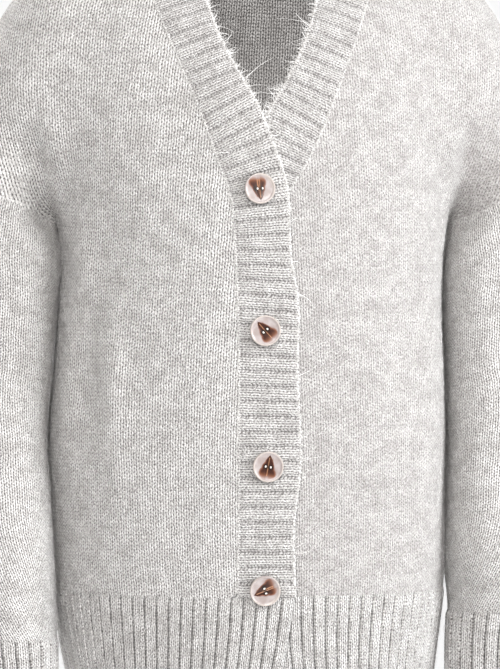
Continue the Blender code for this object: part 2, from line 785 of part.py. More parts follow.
def hidden_cutter(name, bm):
    mesh = bpy.data.meshes.new(name)
    bm.to_mesh(mesh)
    bm.free()
    cutter = bpy.data.objects.new(name, mesh)
    bpy.context.scene.collection.objects.link(cutter)
    cutter.hide_render = True
    cutter.display_type = "WIRE"
    return cutter


def cut(target, cutter):
    modifier = target.modifiers.new("cut " + cutter.name, "BOOLEAN")
    modifier.operation = "DIFFERENCE"
    modifier.object = cutter


def button_mesh():
    """A turned disc with a raised rim and a dished face, on its thread shank."""
    radius = BUTTON_DIAMETER / 2
    shank = SHANK_DIAMETER / 2
    face = BUTTON_THICKNESS - BUTTON_DISH
    profile = (
        (0, -shank_length()),
        (shank, -shank_length()),
        (shank, 0),
        (radius - BACK_CHAMFER_WIDTH, 0),
        (radius, BACK_CHAMFER_HEIGHT),
        (radius, BUTTON_THICKNESS - FRONT_CHAMFER),
        (radius - FRONT_CHAMFER, BUTTON_THICKNESS),
        (radius - BUTTON_RIM, BUTTON_THICKNESS),
        (radius - BUTTON_RIM - RIM_SLOPE, face),
        (0, face),
    )
    bm = bmesh.new()
    points = [bm.verts.new((r * MM, 0, z * MM)) for r, z in profile]
    edges = [bm.edges.new(pair) for pair in zip(points, points[1:])]
    bmesh.ops.spin(
        bm,
        geom=points + edges,
        cent=(0, 0, 0),
        axis=(0, 0, 1),
        angle=math.tau,
        steps=BUTTON_SIDES,
        use_merge=True,
    )
    bmesh.ops.remove_doubles(bm, verts=bm.verts, dist=1e-6)
    bmesh.ops.recalc_face_normals(bm, faces=bm.faces)
    mesh = bpy.data.meshes.new("button")
    bm.to_mesh(mesh)
    bm.free()
    return mesh


def button_back():
    """How far the back of a button lies out from the inside of the cardigan."""
    return OVERLAP_LIFT + WALL + RIB_HEIGHT + BUTTON_CLEARANCE


def shank_length():
    """From the back of a button to just off the ribs of the left band."""
    return button_back() - (WALL + RIB_HEIGHT + SEAM_GAP)


def finished_button_mesh():
    """The disc with its fish-eye groove and a thread hole on either side of the groove."""
    face = BUTTON_THICKNESS - BUTTON_DISH
    disc = bpy.data.objects.new("button blank", button_mesh())
    bpy.context.scene.collection.objects.link(disc)
    groove = bmesh.new()
    bmesh.ops.create_uvsphere(groove, u_segments=12, v_segments=6, radius=1)
    size = (GROOVE_WIDTH / 2 * MM, GROOVE_LENGTH / 2 * MM, GROOVE_DEPTH * MM)
    bmesh.ops.scale(groove, vec=size, verts=groove.verts)
    bmesh.ops.translate(groove, vec=(0, 0, face * MM), verts=groove.verts)
    holes = bmesh.new()
    for sign in (-1, 1):
        made = bmesh.ops.create_cone(
            holes,
            cap_ends=True,
            segments=8,
            radius1=THREAD_HOLE_DIAMETER / 2 * MM,
            radius2=THREAD_HOLE_DIAMETER / 2 * MM,
            depth=2 * THREAD_HOLE_DEPTH * MM,
        )
        place = (sign * THREAD_HOLE_SPACING / 2 * MM, 0, face * MM)
        bmesh.ops.translate(holes, vec=place, verts=made["verts"])
    cutters = [hidden_cutter("groove cutter", groove), hidden_cutter("thread hole cutter", holes)]
    for cutter in cutters:
        cut(disc, cutter)
    bpy.context.view_layer.update()
    mesh = bpy.data.meshes.new_from_object(disc.evaluated_get(bpy.context.evaluated_depsgraph_get()))
    for used in [disc, *cutters]:
        bpy.data.objects.remove(used)
    mesh.name = "button"
    mesh.shade_smooth()
    mesh.set_sharp_from_angle(angle=math.radians(30))
    return mesh


def add_buttons(band, look):
    """Four buttons, and the buttonholes that their shanks pass through."""
    mesh = finished_button_mesh()
    mesh.materials.append(look)
    for number, (x, z, turn) in enumerate(BUTTONS, start=1):
        button = bpy.data.objects.new(f"button_{number}", mesh)
        bpy.context.scene.collection.objects.link(button)
        button.matrix_world = button_place(x, z, turn) @ Matrix.Translation((0, 0, button_back() * MM))
        slot = bmesh.new()
        bmesh.ops.create_cube(slot, size=1)
        size = (BUTTONHOLE_LENGTH * MM, BUTTONHOLE_WIDTH * MM, (WALL + RIB_HEIGHT + 2) * MM)
        bmesh.ops.scale(slot, vec=size, verts=slot.verts)
        middle = OVERLAP_LIFT + (WALL + RIB_HEIGHT) / 2
        bmesh.ops.translate(slot, vec=(0, 0, middle * MM), verts=slot.verts)
        cutter = hidden_cutter(f"buttonhole_{number}", slot)
        cutter.matrix_world = button_place(x, z, 0)
        cut(band, cutter)


def clear_scene():
    for old in list(bpy.data.objects):
        bpy.data.objects.remove(old)


def main():
    clear_scene()
    knit = material("melange knit", (0.58, 0.56, 0.55), 0.9)
    rib = material("melange rib", (0.56, 0.54, 0.53), 0.9)
    horn = material("pearly horn", (0.80, 0.72, 0.66), 0.25)
    fronts = {}
    for side in ("right", "left"):
        grid = front_grid(side)
        fronts[side] = add_panel("front_" + side, grid, knit, side == "right", ("outer", "top", "inner"))
    back = add_panel("back", back_grid(), knit, False, ("outer", "inner", "top"))
    bands, band_ends = {}, {}
    for side in ("right", "left"):
        add_cuff(side, *add_sleeve(side, knit), rib)
        bands[side], *band_ends[side] = add_band(side, fronts[side], back, rib)
    add_hems(fronts, back, band_ends, rib)
    add_buttons(bands["right"], horn)


main()
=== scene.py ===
# %% [markdown]
# # A worn button cardigan in brushed melange knit
# The cardigan is knitted in soft grey wool: two fronts, a back and two sleeves in plain stocking stitch, then
# ribbed cuffs, a ribbed hem and a ribbed button band. It keeps the shape it has on a wearer, with nobody
# inside. We rebuild each piece of cloth as a thin sheet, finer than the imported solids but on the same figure,
# and give it stitches. Then we add what a maker adds by hand: edge chains, seams, buttons, thread and fibres.

# %% Set-up
import functools
import math

import bmesh
import bpy
import numpy as np
from mathutils import Matrix, Vector


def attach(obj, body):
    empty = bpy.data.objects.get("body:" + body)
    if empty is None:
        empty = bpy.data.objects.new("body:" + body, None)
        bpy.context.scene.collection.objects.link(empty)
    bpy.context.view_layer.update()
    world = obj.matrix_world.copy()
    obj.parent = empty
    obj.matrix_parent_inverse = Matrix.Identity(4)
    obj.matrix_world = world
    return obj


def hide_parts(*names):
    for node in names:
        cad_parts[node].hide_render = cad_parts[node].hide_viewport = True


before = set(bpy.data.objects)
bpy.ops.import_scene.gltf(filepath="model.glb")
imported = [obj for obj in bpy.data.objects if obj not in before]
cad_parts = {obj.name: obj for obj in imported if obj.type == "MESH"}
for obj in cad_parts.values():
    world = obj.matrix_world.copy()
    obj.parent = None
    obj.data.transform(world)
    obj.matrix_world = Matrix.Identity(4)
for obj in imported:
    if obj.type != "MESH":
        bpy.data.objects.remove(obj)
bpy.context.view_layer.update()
MM = 0.001
SIDES = {"right": -1.0, "left": 1.0}  # the wearer's right is -X


def placed(name, data):
    """A new object in the scene."""
    made = bpy.data.objects.new(name, data)
    bpy.context.scene.collection.objects.link(made)
    return made


def mesh_from(name, bm):
    """A new mesh from a bmesh, which is used up."""
    mesh = bpy.data.meshes.new(name)
    bm.to_mesh(mesh)
    bm.free()
    return mesh


def placed_mesh(name, bm, look=None):
    mesh = mesh_from(name, bm)
    if look:
        mesh.materials.append(look)
    return placed(name, mesh)


print("solids:", ", ".join(sorted(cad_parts)))

# %% [markdown]
# ## The camera
# It stands a few metres off at chest height, a little to one side, with a long lens, so the cardigan fills
# the picture and its sides hardly converge. The line of buttons then lies just right of the picture's middle.

# %% Camera
AZIMUTH = math.radians(-5)
CAMERA_DISTANCE, CAMERA_HEIGHT, CAMERA_SHIFT = 2.534, -0.361, -0.0013  # metres
LENS, SENSOR_HEIGHT = 159, 36  # mm
camera = placed("camera", bpy.data.cameras.new("camera"))
bpy.context.scene.camera = camera
camera.data.sensor_fit = "VERTICAL"
camera.data.sensor_height = SENSOR_HEIGHT
camera.data.lens = LENS
towards_camera = Vector((math.sin(AZIMUTH), -math.cos(AZIMUTH), 0))
sideways = Vector((math.cos(AZIMUTH), math.sin(AZIMUTH), 0))
aim = Vector((0, 0, CAMERA_HEIGHT))
camera.location = aim + CAMERA_DISTANCE * towards_camera + CAMERA_SHIFT * sideways
camera.rotation_euler = (-towards_camera).to_track_quat("-Z", "Y").to_euler()
print("camera at", [round(v, 3) for v in camera.location])

# %% [markdown]
# ## Writing shader maths as Python
# A finish that follows the stitches needs a lot of arithmetic on the sheet's own coordinates. A small class
# wraps a node's output so that ordinary Python expressions add the Math nodes. A second class holds a
# material and adds any other node. Joining the nodes by hand in the shader editor gives the same material,
# but a long sum is hard to follow there.


# %% Shader maths
def feed(tree, socket, value):
    """Links a value to a socket, or sets the socket where the value is a constant."""
    if isinstance(value, Value):
        value = value.socket
    if isinstance(value, bpy.types.NodeSocket):
        tree.links.new(value, socket)
    else:
        socket.default_value = value


class Value:
    """A number that varies over a surface. Arithmetic on it adds Math nodes, and so do the methods below."""

    def __init__(self, tree, socket):
        self.tree, self.socket = tree, socket

    def math(self, operation, *others, first=None):
        made = self.tree.nodes.new("ShaderNodeMath")
        made.operation = operation
        for number, value in enumerate((self if first is None else first, *others)):
            feed(self.tree, made.inputs[number], value)
        return Value(self.tree, made.outputs[0])

    def __rsub__(self, other):
        return self.math("SUBTRACT", self, first=other)

    def soft(self):
        """The value kept between 0 and 1, with soft ends."""
        kept = self.least(1.0).most(0.0)
        return kept * kept * (3 - 2 * kept)

    def within(self, low, high):
        """0 at low and below, 1 at high and above, with soft ends."""
        made = self.tree.nodes.new("ShaderNodeMapRange")
        made.interpolation_type = "SMOOTHSTEP"
        for socket, value in (("From Min", low), ("From Max", high), ("Value", self)):
            feed(self.tree, made.inputs[socket], value)
        return Value(self.tree, made.outputs["Result"])


OPERATIONS = {
    "__add__": "ADD", "__radd__": "ADD", "__mul__": "MULTIPLY", "__rmul__": "MULTIPLY",
    "__sub__": "SUBTRACT", "__truediv__": "DIVIDE", "__pow__": "POWER", "__abs__": "ABSOLUTE",
    "fraction": "FRACT", "cosine": "COSINE", "least": "MINIMUM", "most": "MAXIMUM",
}
for method, operation in OPERATIONS.items():
    setattr(Value, method, functools.partialmethod(Value.math, operation))


class Finish:
    """A material under construction: its Principled shader, and methods that add nodes."""

    def __init__(self, name, roughness, **constants):
        self.material = bpy.data.materials.new(name)
        self.material.use_nodes = True
        self.tree = self.material.node_tree
        self.shader = self.tree.nodes["Principled BSDF"]
        self.shader.inputs["Roughness"].default_value = roughness
        for socket, value in constants.items():
            self.shader.inputs[socket.replace("_", " ")].default_value = value

    def node(self, kind, values=None, settings=None, output=0):
        """A node of this kind: its settings are made first, then its sockets are set or linked."""
        made = self.tree.nodes.new("ShaderNode" + kind)
        for name, value in (settings or {}).items():
            setattr(made, name, value)
        for socket, value in (values or {}).items():
            feed(self.tree, made.inputs[socket], value)
        return made.outputs[output]

    def number(self, *arguments, **named):
        return Value(self.tree, self.node(*arguments, **named))

    def mix(self, factor, first, second):
        """A mix of two colours."""
        return self.node("Mix", {0: factor, 6: first, 7: second}, {"data_type": "RGBA"}, output=2)

    def sheet_coordinates(self, layer):
        """The two coordinates of a sheet's own flat pattern, in millimetres."""
        split = self.tree.nodes.new("ShaderNodeSeparateXYZ")
        feed(self.tree, split.inputs[0], self.node("UVMap", settings={"uv_map": layer}))
        return Value(self.tree, split.outputs[0]), Value(self.tree, split.outputs[1])

    def object_place(self):
        return self.node("TexCoord", output=3)

    def object_noise(self, scale, detail):
        return self.number("TexNoise", {"Vector": self.object_place(), "Scale": scale, "Detail": detail})

    def noise(self, x, y, scale_x, scale_y, detail=2.0, roughness=0.5, seed=0.0):
        """Noise on the flat pattern, with patches of about scale_x by scale_y millimetres."""
        place = self.node("CombineXYZ", {0: x / scale_x + seed, 1: y / scale_y + seed, 2: seed})
        return self.number(
            "TexNoise", {"Vector": place, "Scale": 1.0, "Detail": detail, "Roughness": roughness}
        )

    def bump(self, height, distance, strength=1.0):
        return self.node("Bump", {"Height": height, "Distance": distance, "Strength": strength})

    def wear(self, colour, normal=None):
        """The finished material, with the shader fed."""
        feed(self.tree, self.shader.inputs["Base Color"], colour)
        if normal is not None:
            feed(self.tree, self.shader.inputs["Normal"], normal)
        return self.material


print("shader helpers ready")

# %% [markdown]
# ## Brushed melange yarn
# Melange yarn is spun from light and dark fibres that were never quite mixed, so the cloth is cloudy: patches
# a few centimetres wide, a change from stitch to stitch, and single fibres on top. In stocking stitch each
# column of stitches, a wale, is a stack of V shapes. The height of the V's two legs goes into a bump, and the
# holes between them get painted shade, a darker colour where shade falls into them, which is what the eye
# reads as knitting. The holes at a wale's edges lie half a course higher than those in its middle, so they
# stand like the fives on dice. The lines between the legs and the valleys of the ribs get painted shade too.
# One setting turns part of this painted shade into one even grey and flattens the bump. The band gets a little
# of it. The left front gets a copy of the yarn with much of it: painted light for the washed-out look of that
# front in the bright window light. Ribs use the same stitches with three wales to a rib: two on its back and
# one in the valley.

# %% Yarn
WALE, COURSE = 4.2, 2.9  # a stitch's width and height in mm
WALES_IN_RIB = 3
LIGHT_FIBRE = (0.76, 0.748, 0.74, 1)
MIDDLE_FIBRE = (0.555, 0.538, 0.528, 1)
SHADE_AND_DARK_FIBRE = (0.1, 0.09, 0.088, 1)
PATCHES = {
    # width and height in mm, detail, roughness, seed
    "shaking": (3.4, 3.0, 0.0, 0.5, 13.0),
    "shift_across": (12.0, 8.0, 2.0, 0.5, 3.0),
    "shift_upwards": (9.0, 6.0, 2.0, 0.5, 8.0),
    "shade_strength": (7.0, 9.0, 3.0, 0.65, 41.0),
    "grain": (1.1, 1.7, 2.0, 0.8, 1.0),
    "clouds": (16.0, 14.0, 4.0, 0.65, 20.0),
    "flecks": (3.0, 4.8, 3.0, 0.75, 31.0),
}
LEG_SLANT = 0.5  # how many courses a stitch's leg rises over half the width of its wale
ZIGZAG = 1.3  # mm that a rib's valley wanders from course to course
# Painted shade in the lines between legs and in the ribs' valleys, and the most that painted shade darkens
LINE_SHADE, VALLEY_SHADE, DARKEST = 0.26, 0.9, 0.95  # shares of dark fibre
EVENED_SHADE = 0.62  # what the evening leaves of all the painted shade: one even grey
STITCH_BUMP = 0.0014  # metres


def yarn(name, wale, ribbed=False, valley_width=0.13, shade_evening=0.0):
    """Knitted cloth. In a rib the first of its wales lies in the valley."""
    finish = Finish(name, 0.95, Sheen_Weight=0.3, Sheen_Roughness=0.5, Specular_IOR_Level=0.2)
    u, v = finish.sheet_coordinates("knit")
    patch = {purpose: finish.noise(u, v, *values) for purpose, values in PATCHES.items()}
    uneven = finish.noise(u, v, wale * 0.8, COURSE * 0.8, detail=1.0, seed=5.0)
    # The place in the pattern, a little off because no two stitches are alike.
    shaken = patch["shaking"] - 0.5
    across = u + (patch["shift_across"] - 0.5) * 1.8 + shaken * 0.7
    upwards = v + (patch["shift_upwards"] - 0.5) * 2.0 + shaken * 1.1
    # The V's legs: leg is 1 along the middle of each, turn goes from 0 to 1 and back over a course.
    out = abs((across / wale + 0.5).fraction() - 0.5)
    up = (upwards / COURSE - out * (2 * LEG_SLANT)).fraction()
    leg = (1 - ((out - 0.25) / 0.25) ** 2).most(0.0)
    turn = 0.5 - (up * math.tau).cosine() * 0.5
    pit = ((1 - leg) * (1 - turn)).within(0.2, 0.6)
    stitch = leg ** 0.6 * (turn * 0.4 + 0.6)
    height = stitch * (0.6 + uneven * 0.8) + patch["grain"] * 0.8 - pit * 0.5
    # Painted shade where shade falls: holes, lines between legs, the ribs' valleys; and the yarn's single dark
    # fibres.
    hole = pit * (uneven * 4.0 - 0.9).most(0.12)
    line = (1 - leg) ** 2 * LINE_SHADE
    # The painted shade is stronger in some patches than in others
    depth = (hole + line) * (0.6 + patch["shade_strength"].within(0.40, 0.60) * 1.2)
    if ribbed:
        zigzag = abs((upwards / COURSE).fraction() - 0.5) * ZIGZAG
        place = ((across + zigzag) / (wale * WALES_IN_RIB) + 0.5).fraction() - 0.5
        valley = 1 - abs(place).within(0.01, valley_width)
        gap = (0.3 + (1 - turn) ** 2 * 0.9) * (uneven * 2.6 - 0.5).most(0.1)
        depth = depth + valley * VALLEY_SHADE * gap
        height = height - valley * 0.4
    speckle = (patch["grain"] - 0.48).most(0.0) * 3.6
    shade = depth.least(DARKEST) * (1 - shade_evening) + EVENED_SHADE * shade_evening + speckle * (1 - shade_evening / 2)
    melange = (patch["clouds"] * 0.5 + patch["flecks"] * 0.5).within(0.41, 0.58)
    body = finish.mix(melange, MIDDLE_FIBRE, LIGHT_FIBRE)
    colour = finish.mix(shade.least(DARKEST), body, SHADE_AND_DARK_FIBRE)
    return finish.wear(colour, finish.bump(height, STITCH_BUMP * (1 - shade_evening)))


knit = yarn("melange_knit", WALE)
# Copy for the left front, painted light: shade evened and bump flattened, as it looks washed out in the window
# light
lit_side_knit = yarn("lit_side_melange_knit", WALE, shade_evening=0.65)
print("yarns:", knit.name, lit_side_knit.name)

# %% [markdown]
# ## The figure
# A garment on a wearer is easiest to describe by level sections. Tables give ovals for the torso and for each
# arm, and a smooth curve is read through their rows. "How far outside is this point" is a number for each
# oval. The nearer of the torso's and the arms' numbers, rounded off where they are alike, makes one surface
# that runs over the shoulders. Its zero is the inside of the cardigan.

# %% Level sections of the torso and the arms
TORSO_POWER = 2.5
TORSO = (
    # z, right half width, left half width, front depth, back depth
    (40, 56, 56, 44, 62), (12, 62, 62, 45, 74), (2, 72, 72, 48, 80), (-13, 113, 113, 57, 88),
    (-40, 152, 152, 69, 101), (-75, 172, 171, 87, 114), (-110, 180, 174, 105, 124),
    (-150, 179, 171, 118, 131), (-187, 174, 167, 126, 134), (-230, 168, 163, 131, 134),
    (-266, 162, 161, 133, 132), (-300, 160, 159, 134, 130), (-340, 163, 158, 134, 129),
    (-390, 167, 160, 134, 130), (-446, 173, 161, 133, 132), (-500, 172, 160, 131, 133),
    (-574, 168, 157, 127, 130), (-606, 163, 153, 122, 125), (-652, 154, 146, 115, 118),
)
TOP_OF_ARM = (
    # z, middle x, middle y, half x, half y
    (10, 50, 5, 10, 10), (-20, 92, 5, 24, 30), (-50, 134, 5, 38, 47), (-110, 172, 4, 49, 61),
    (-170, 192, 1, 52, 66),
)
ARMS = {
    "right": (
        *TOP_OF_ARM,
        (-231, 209, -1, 50, 66), (-266, 216, -2, 46, 65), (-300, 214.5, -4, 47.5, 65),
        (-340, 217.5, -8, 47.5, 64), (-390, 220.8, -16, 47, 63), (-446, 224, -29, 45, 62),
        (-500, 222, -43, 46, 60), (-560, 214.5, -57, 42, 54), (-600, 208, -64, 37, 45),
        (-620, 205, -67, 34, 38), (-700, 205, -74, 33, 35),
    ),
    "left": (
        *TOP_OF_ARM,
        (-231, 208, 0, 50, 66), (-266, 215, 0, 46, 65), (-300, 213.5, -2, 47.5, 65),
        (-340, 212.5, -4, 47.5, 64), (-390, 214.5, -8, 47.5, 63), (-446, 216, -16, 48, 62),
        (-500, 213.7, -25, 47, 59), (-550, 210.5, -33, 43, 52), (-584, 207, -37, 37, 43),
        (-604, 204, -39, 34, 38), (-690, 203, -44, 33, 35),
    ),
}
BLEND = (
    # z, over how many millimetres the torso and an arm run into each other
    (40, 10), (-20, 16), (-60, 30), (-130, 52), (-200, 62), (-240, 40), (-266, 17), (-285, 5), (-320, 5),
    (-700, 5),
)
LEAST_BLEND = 4.0
UNDERARM_Z = -266.0


def read(table, at):
    """Every column of a table at the places given in its first column, on a smooth curve through its rows."""
    rows = np.array(sorted(table), float)
    places, values = rows[:, 0], rows[:, 1:]
    slopes = np.gradient(values, places, axis=0)
    at = np.clip(np.asarray(at, float), places[0], places[-1])
    row = np.clip(np.searchsorted(places, at) - 1, 0, len(places) - 2)
    span = (places[row + 1] - places[row])[..., None]
    t = (at - places[row])[..., None] / span
    start = (1 + 2 * t) * (1 - t) ** 2 * values[row] + t * (1 - t) ** 2 * span * slopes[row]
    end = t * t * (3 - 2 * t) * values[row + 1] - t * t * (1 - t) * span * slopes[row + 1]
    return np.moveaxis(start + end, -1, 0)


print("right, left, front and back at the chest:", [round(float(v)) for v in read(TORSO, UNDERARM_Z)], "mm")


# %% How far outside the figure a point lies
def outside_of_oval(across, along, half_across, half_along, power):
    a, b = np.abs(across) / half_across, np.abs(along) / half_along
    size = np.maximum((a**power + b**power) ** (1 / power), 1e-6)
    slope_a = (a / size) ** (power - 1) / half_across
    slope_b = (b / size) ** (power - 1) / half_along
    return (size - 1) / np.hypot(slope_a, slope_b)


def outside_torso(points):
    x, y, z = np.moveaxis(points, -1, 0)
    right, left, front, back = read(TORSO, z)
    return outside_of_oval(x, y, np.where(x < 0, right, left), np.where(y < 0, front, back), TORSO_POWER)


def outside_arm(side, power=2.0):
    def outside(points):
        x, y, z = np.moveaxis(points, -1, 0)
        middle_x, middle_y, half_x, half_y = read(ARMS[side], z)
        across = SIDES[side] * x - middle_x
        shape = power(z, across) if callable(power) else power
        return outside_of_oval(across, y - middle_y, half_x, half_y, shape)

    return outside


def run_together(first, second, width):
    share = np.clip(0.5 + 0.5 * (second - first) / width, 0, 1)
    return second * (1 - share) + first * share - width * share * (1 - share)


def outside_body(points):
    width = np.maximum(read(BLEND, points[..., 2])[0], LEAST_BLEND)
    near = outside_torso(points)
    for side in SIDES:
        near = run_together(near, outside_arm(side)(points), width)
    return near


def slope_of(outside, points, step=0.5):
    slope = np.empty_like(points)
    for axis in range(3):
        shift = np.zeros(3)
        shift[axis] = step
        slope[..., axis] = (outside(points + shift) - outside(points - shift)) / (2 * step)
    return slope


in_chest = np.array([[0.0, -100.0, UNDERARM_Z]])
print("a point 100 mm before the chest's middle lies", round(-outside_body(in_chest)[0]), "mm inside")

# %% [markdown]
# ## Putting points on the surface
# A rough grid is easy to lay out; the surface is not. So every grid starts roughly in place and is then
# settled: each point moves square to the surface, a little less than all the way, until nothing is left to
# move. Blender's Shrinkwrap does the same with a mesh, and needs a target mesh that is fine enough.

# %% Settling points on the surface
SETTLING_ROUNDS, EVENING_ROUNDS, SMOOTHINGS, ROUNDS_AFTER = 25, 10, 40, 6
SHARE_MOVED = 0.8
FURTHEST, FURTHEST_ALONG_Y = 25, 20  # mm that a point may move in one round
LEAST_SLOPE_SQUARED, LEAST_SLOPE = 0.02, 0.2


def unit(vectors):
    return vectors / np.maximum(np.linalg.norm(vectors, axis=-1, keepdims=True), 1e-9)


def settle(points, outside, rounds=SETTLING_ROUNDS):
    points = np.array(points, float)
    for _ in range(rounds):
        slope = slope_of(outside, points)
        steep = np.maximum((slope**2).sum(axis=-1), LEAST_SLOPE_SQUARED)
        step = np.clip(outside(points) / steep, -FURTHEST, FURTHEST)
        points -= SHARE_MOVED * step[..., None] * slope
    return points


def settle_front(points, outside):
    """The same along y alone, so that from the front the points stay put."""
    points = np.array(points, float)
    for _ in range(SETTLING_ROUNDS):
        slope = slope_of(outside, points)[..., 1]
        slope = np.where(np.abs(slope) < LEAST_SLOPE, -LEAST_SLOPE, slope)
        points[..., 1] -= np.clip(outside(points) / slope, -FURTHEST_ALONG_Y, FURTHEST_ALONG_Y)
    return points


def evened(grid, outside):
    """A grid whose inner points are spread evenly over the surface, with its edges left where they are."""
    for _ in range(EVENING_ROUNDS):
        for _ in range(SMOOTHINGS):
            sides = grid[1:-1, :-2] + grid[1:-1, 2:] + grid[:-2, 1:-1] + grid[2:, 1:-1]
            grid[1:-1, 1:-1] = sides / 4
        grid[1:-1, 1:-1] = settle(grid[1:-1, 1:-1], outside, ROUNDS_AFTER)
    return grid


left_over = outside_body(settle(np.array([[60.0, -90.0, -300.0]]), outside_body))
print("a settled point is off by", round(float(abs(left_over[0])), 4), "mm")

# %% [markdown]
# ## Folds and the lap of the fronts
# Soft folds gather where the cloth is pushed together: below the armholes, in the crook of the elbows, above
# the cuffs. Each is a long soft bump or trough with a middle, a direction and a size. The right front is
# lifted over the left band where they lap. A cloth simulation would find folds too, but not these ones, and
# not the same ones twice.

# %% Folds
FOLDS = (
    # x, y, z, along x, y, z, half length, half width, height
    (-200, -66, -205, 0.7, 0, -0.7, 46, 17, -5.0), (198, -66, -205, -0.7, 0, -0.7, 46, 17, -5.0),
    (-150, -95, -300, 0.45, -0.1, -0.9, 70, 20, -3.5), (-158, -70, -420, -0.15, 0, -1, 60, 18, 4.0),
    (150, -95, -285, -0.45, -0.1, -0.9, 60, 20, -3.0), (130, -112, -500, -0.1, 0, -1, 80, 26, 3.0),
    (-215, -75, -385, 0.8, 0, -0.5, 42, 15, -4.5), (-222, -92, -480, 0.9, 0, 0.3, 40, 16, -4.5),
    (-262, -30, -330, 0, 0.7, -0.6, 45, 18, -5.0), (-262, -50, -450, 0, 0.8, -0.4, 45, 18, -5.5),
    (214, -70, -380, -0.8, 0, -0.5, 42, 15, -4.5), (216, -80, -475, -0.9, 0, 0.3, 40, 16, -4.5),
    (260, -15, -330, 0, 0.7, -0.6, 45, 18, -5.0), (258, -30, -450, 0, 0.8, -0.4, 45, 18, -5.5),
    (-225, 55, -420, 0.7, 0.2, -0.6, 50, 18, -5.0), (222, 55, -420, -0.7, 0.2, -0.6, 50, 18, -5.0),
    (0, 134, -150, 1, 0, 0, 90, 24, -3.0), (-110, 118, -330, 0.5, 0.2, -0.8, 90, 26, -4.0),
    (110, 118, -330, -0.5, 0.2, -0.8, 90, 26, -4.0), (-45, 132, -470, 0.1, 0, -1, 95, 30, 4.0),
    (60, 130, -490, -0.1, 0, -1, 80, 28, 3.5), (-167, -4, -298, 0, 0, -1, 42, 26, 1.6),
    (140, -80, -430, 0, 0, -1, 165, 24, 5.0), (-150, -74, -325, 0, 0, -1, 75, 20, 4.0),
    (164, -34, -556, 0, 0, -1, 48, 26, 3.4), (160, -40, -650, 0, 0, -1, 45, 34, 5.5),
    # the finer ones
    (-143, -82, -302, 0.34, 0, -0.94, 46, 9, 6.5), (-121, -104, -404, 0.02, 0, -1, 68, 9, 7.0),
    (-146, -84, -392, 0.1, 0, -1, 52, 13, -6.5), (-122, -100, -268, 0.3, 0, -0.95, 36, 12, -2.5),
    (-60, -124, -500, -0.25, 0, -0.97, 60, 16, -2.0), (118, -108, -200, -0.2, 0, -0.98, 55, 13, 2.0),
    (86, -118, -420, 0.12, 0, -0.99, 70, 15, 2.0), (-230, 20, -350, 0.3, 0.3, -0.9, 40, 12, -3.0),
    (228, 24, -360, -0.3, 0.3, -0.9, 40, 12, -3.0), (-248, -40, -560, 0.1, 0.8, -0.6, 30, 10, -3.0),
    (246, -20, -548, -0.1, 0.8, -0.6, 30, 10, -3.0), (40, 126, -260, 0.4, 0, -0.9, 70, 16, 2.5),
    (-70, 124, -220, -0.4, 0, -0.9, 70, 16, 2.5),
)
WALL, RIB_HEIGHT = 3.0, 1.4
OVERLAP_LIFT = WALL + RIB_HEIGHT + 0.9
LIFT_FROM_X, LIFT_FULL_X = -93.0, -23.0
LIFT_FROM_Z, LIFT_FULL_Z = -110.0, -180.0
LIFT_OVER_Y = 40
CREASES = {"right": (165, 0.2), "left": (164, 0.05)}  # x at the underarm, and how far it moves out per mm up
CREASE_DEPTH, CREASE_LIP, CREASE_STEP, CREASE_FADE = 10.0, 2.5, 7, 28
CREASE_START, CREASE_END = (-300, 40), (-215, 45)  # z, and over how many mm it comes and goes
CREASE_FROM_Y, CREASE_OVER_Y = -10, 35


def rise(amount):
    amount = np.clip(amount, 0, 1)
    return amount * amount * (3 - 2 * amount)


def fold_height(points):
    height = np.zeros(points.shape[:-1])
    for x, y, z, along_x, along_y, along_z, half_length, half_width, size in FOLDS:
        away = points - (x, y, z)
        direction = unit(np.array((along_x, along_y, along_z)))
        along = away @ direction
        across = np.linalg.norm(away - along[..., None] * direction, axis=-1)
        height += size * np.exp(-((along / half_length) ** 2) - (across / half_width) ** 2)
    return height


def crease_height(points):
    """The front laps over the top of the sleeve: a lip, and then a quick step back towards the arm."""
    x, y, z = np.moveaxis(points, -1, 0)
    height = np.zeros_like(x)
    upright = rise((z - CREASE_START[0]) / CREASE_START[1]) * (1 - rise((z - CREASE_END[0]) / CREASE_END[1]))
    front = rise((CREASE_FROM_Y - y) / CREASE_OVER_Y)
    for side, (line, slant) in CREASES.items():
        beyond = SIDES[side] * x - line - slant * (z - UNDERARM_Z)
        step = rise(beyond / CREASE_STEP) * np.exp(-np.maximum(beyond - CREASE_STEP, 0) / CREASE_FADE)
        lip = np.exp(-(((beyond + CREASE_STEP) / CREASE_STEP) ** 2))
        height += (CREASE_LIP * lip - CREASE_DEPTH * step) * upright * front
    return height


def overlap_height(points):
    across = rise((points[..., 0] - LIFT_FROM_X) / (LIFT_FULL_X - LIFT_FROM_X))
    upright = rise((points[..., 2] - LIFT_FROM_Z) / (LIFT_FULL_Z - LIFT_FROM_Z))
    front = rise(-points[..., 1] / LIFT_OVER_Y)
    return OVERLAP_LIFT * across * upright * front


def skins(points, outside, lifted=False):
    """The inside of a piece of cloth, and the way out from each of its points."""
    way_out = unit(slope_of(outside, points))
    height = fold_height(points) + crease_height(points)
    if lifted:
        height = height + overlap_height(points)
    return points + height[..., None] * way_out, way_out


print(len(FOLDS), "folds")

# %% [markdown]
# ## Seams and edges
# The pieces meet on lines: the band's seam and free edge, the armholes, the shoulders, the side seams and the
# level where the hem is picked up. Both neighbours read the same line, so their edges match point for point.
# Lines drawn by hand as curves would do for one piece, but no two neighbours would quite meet.

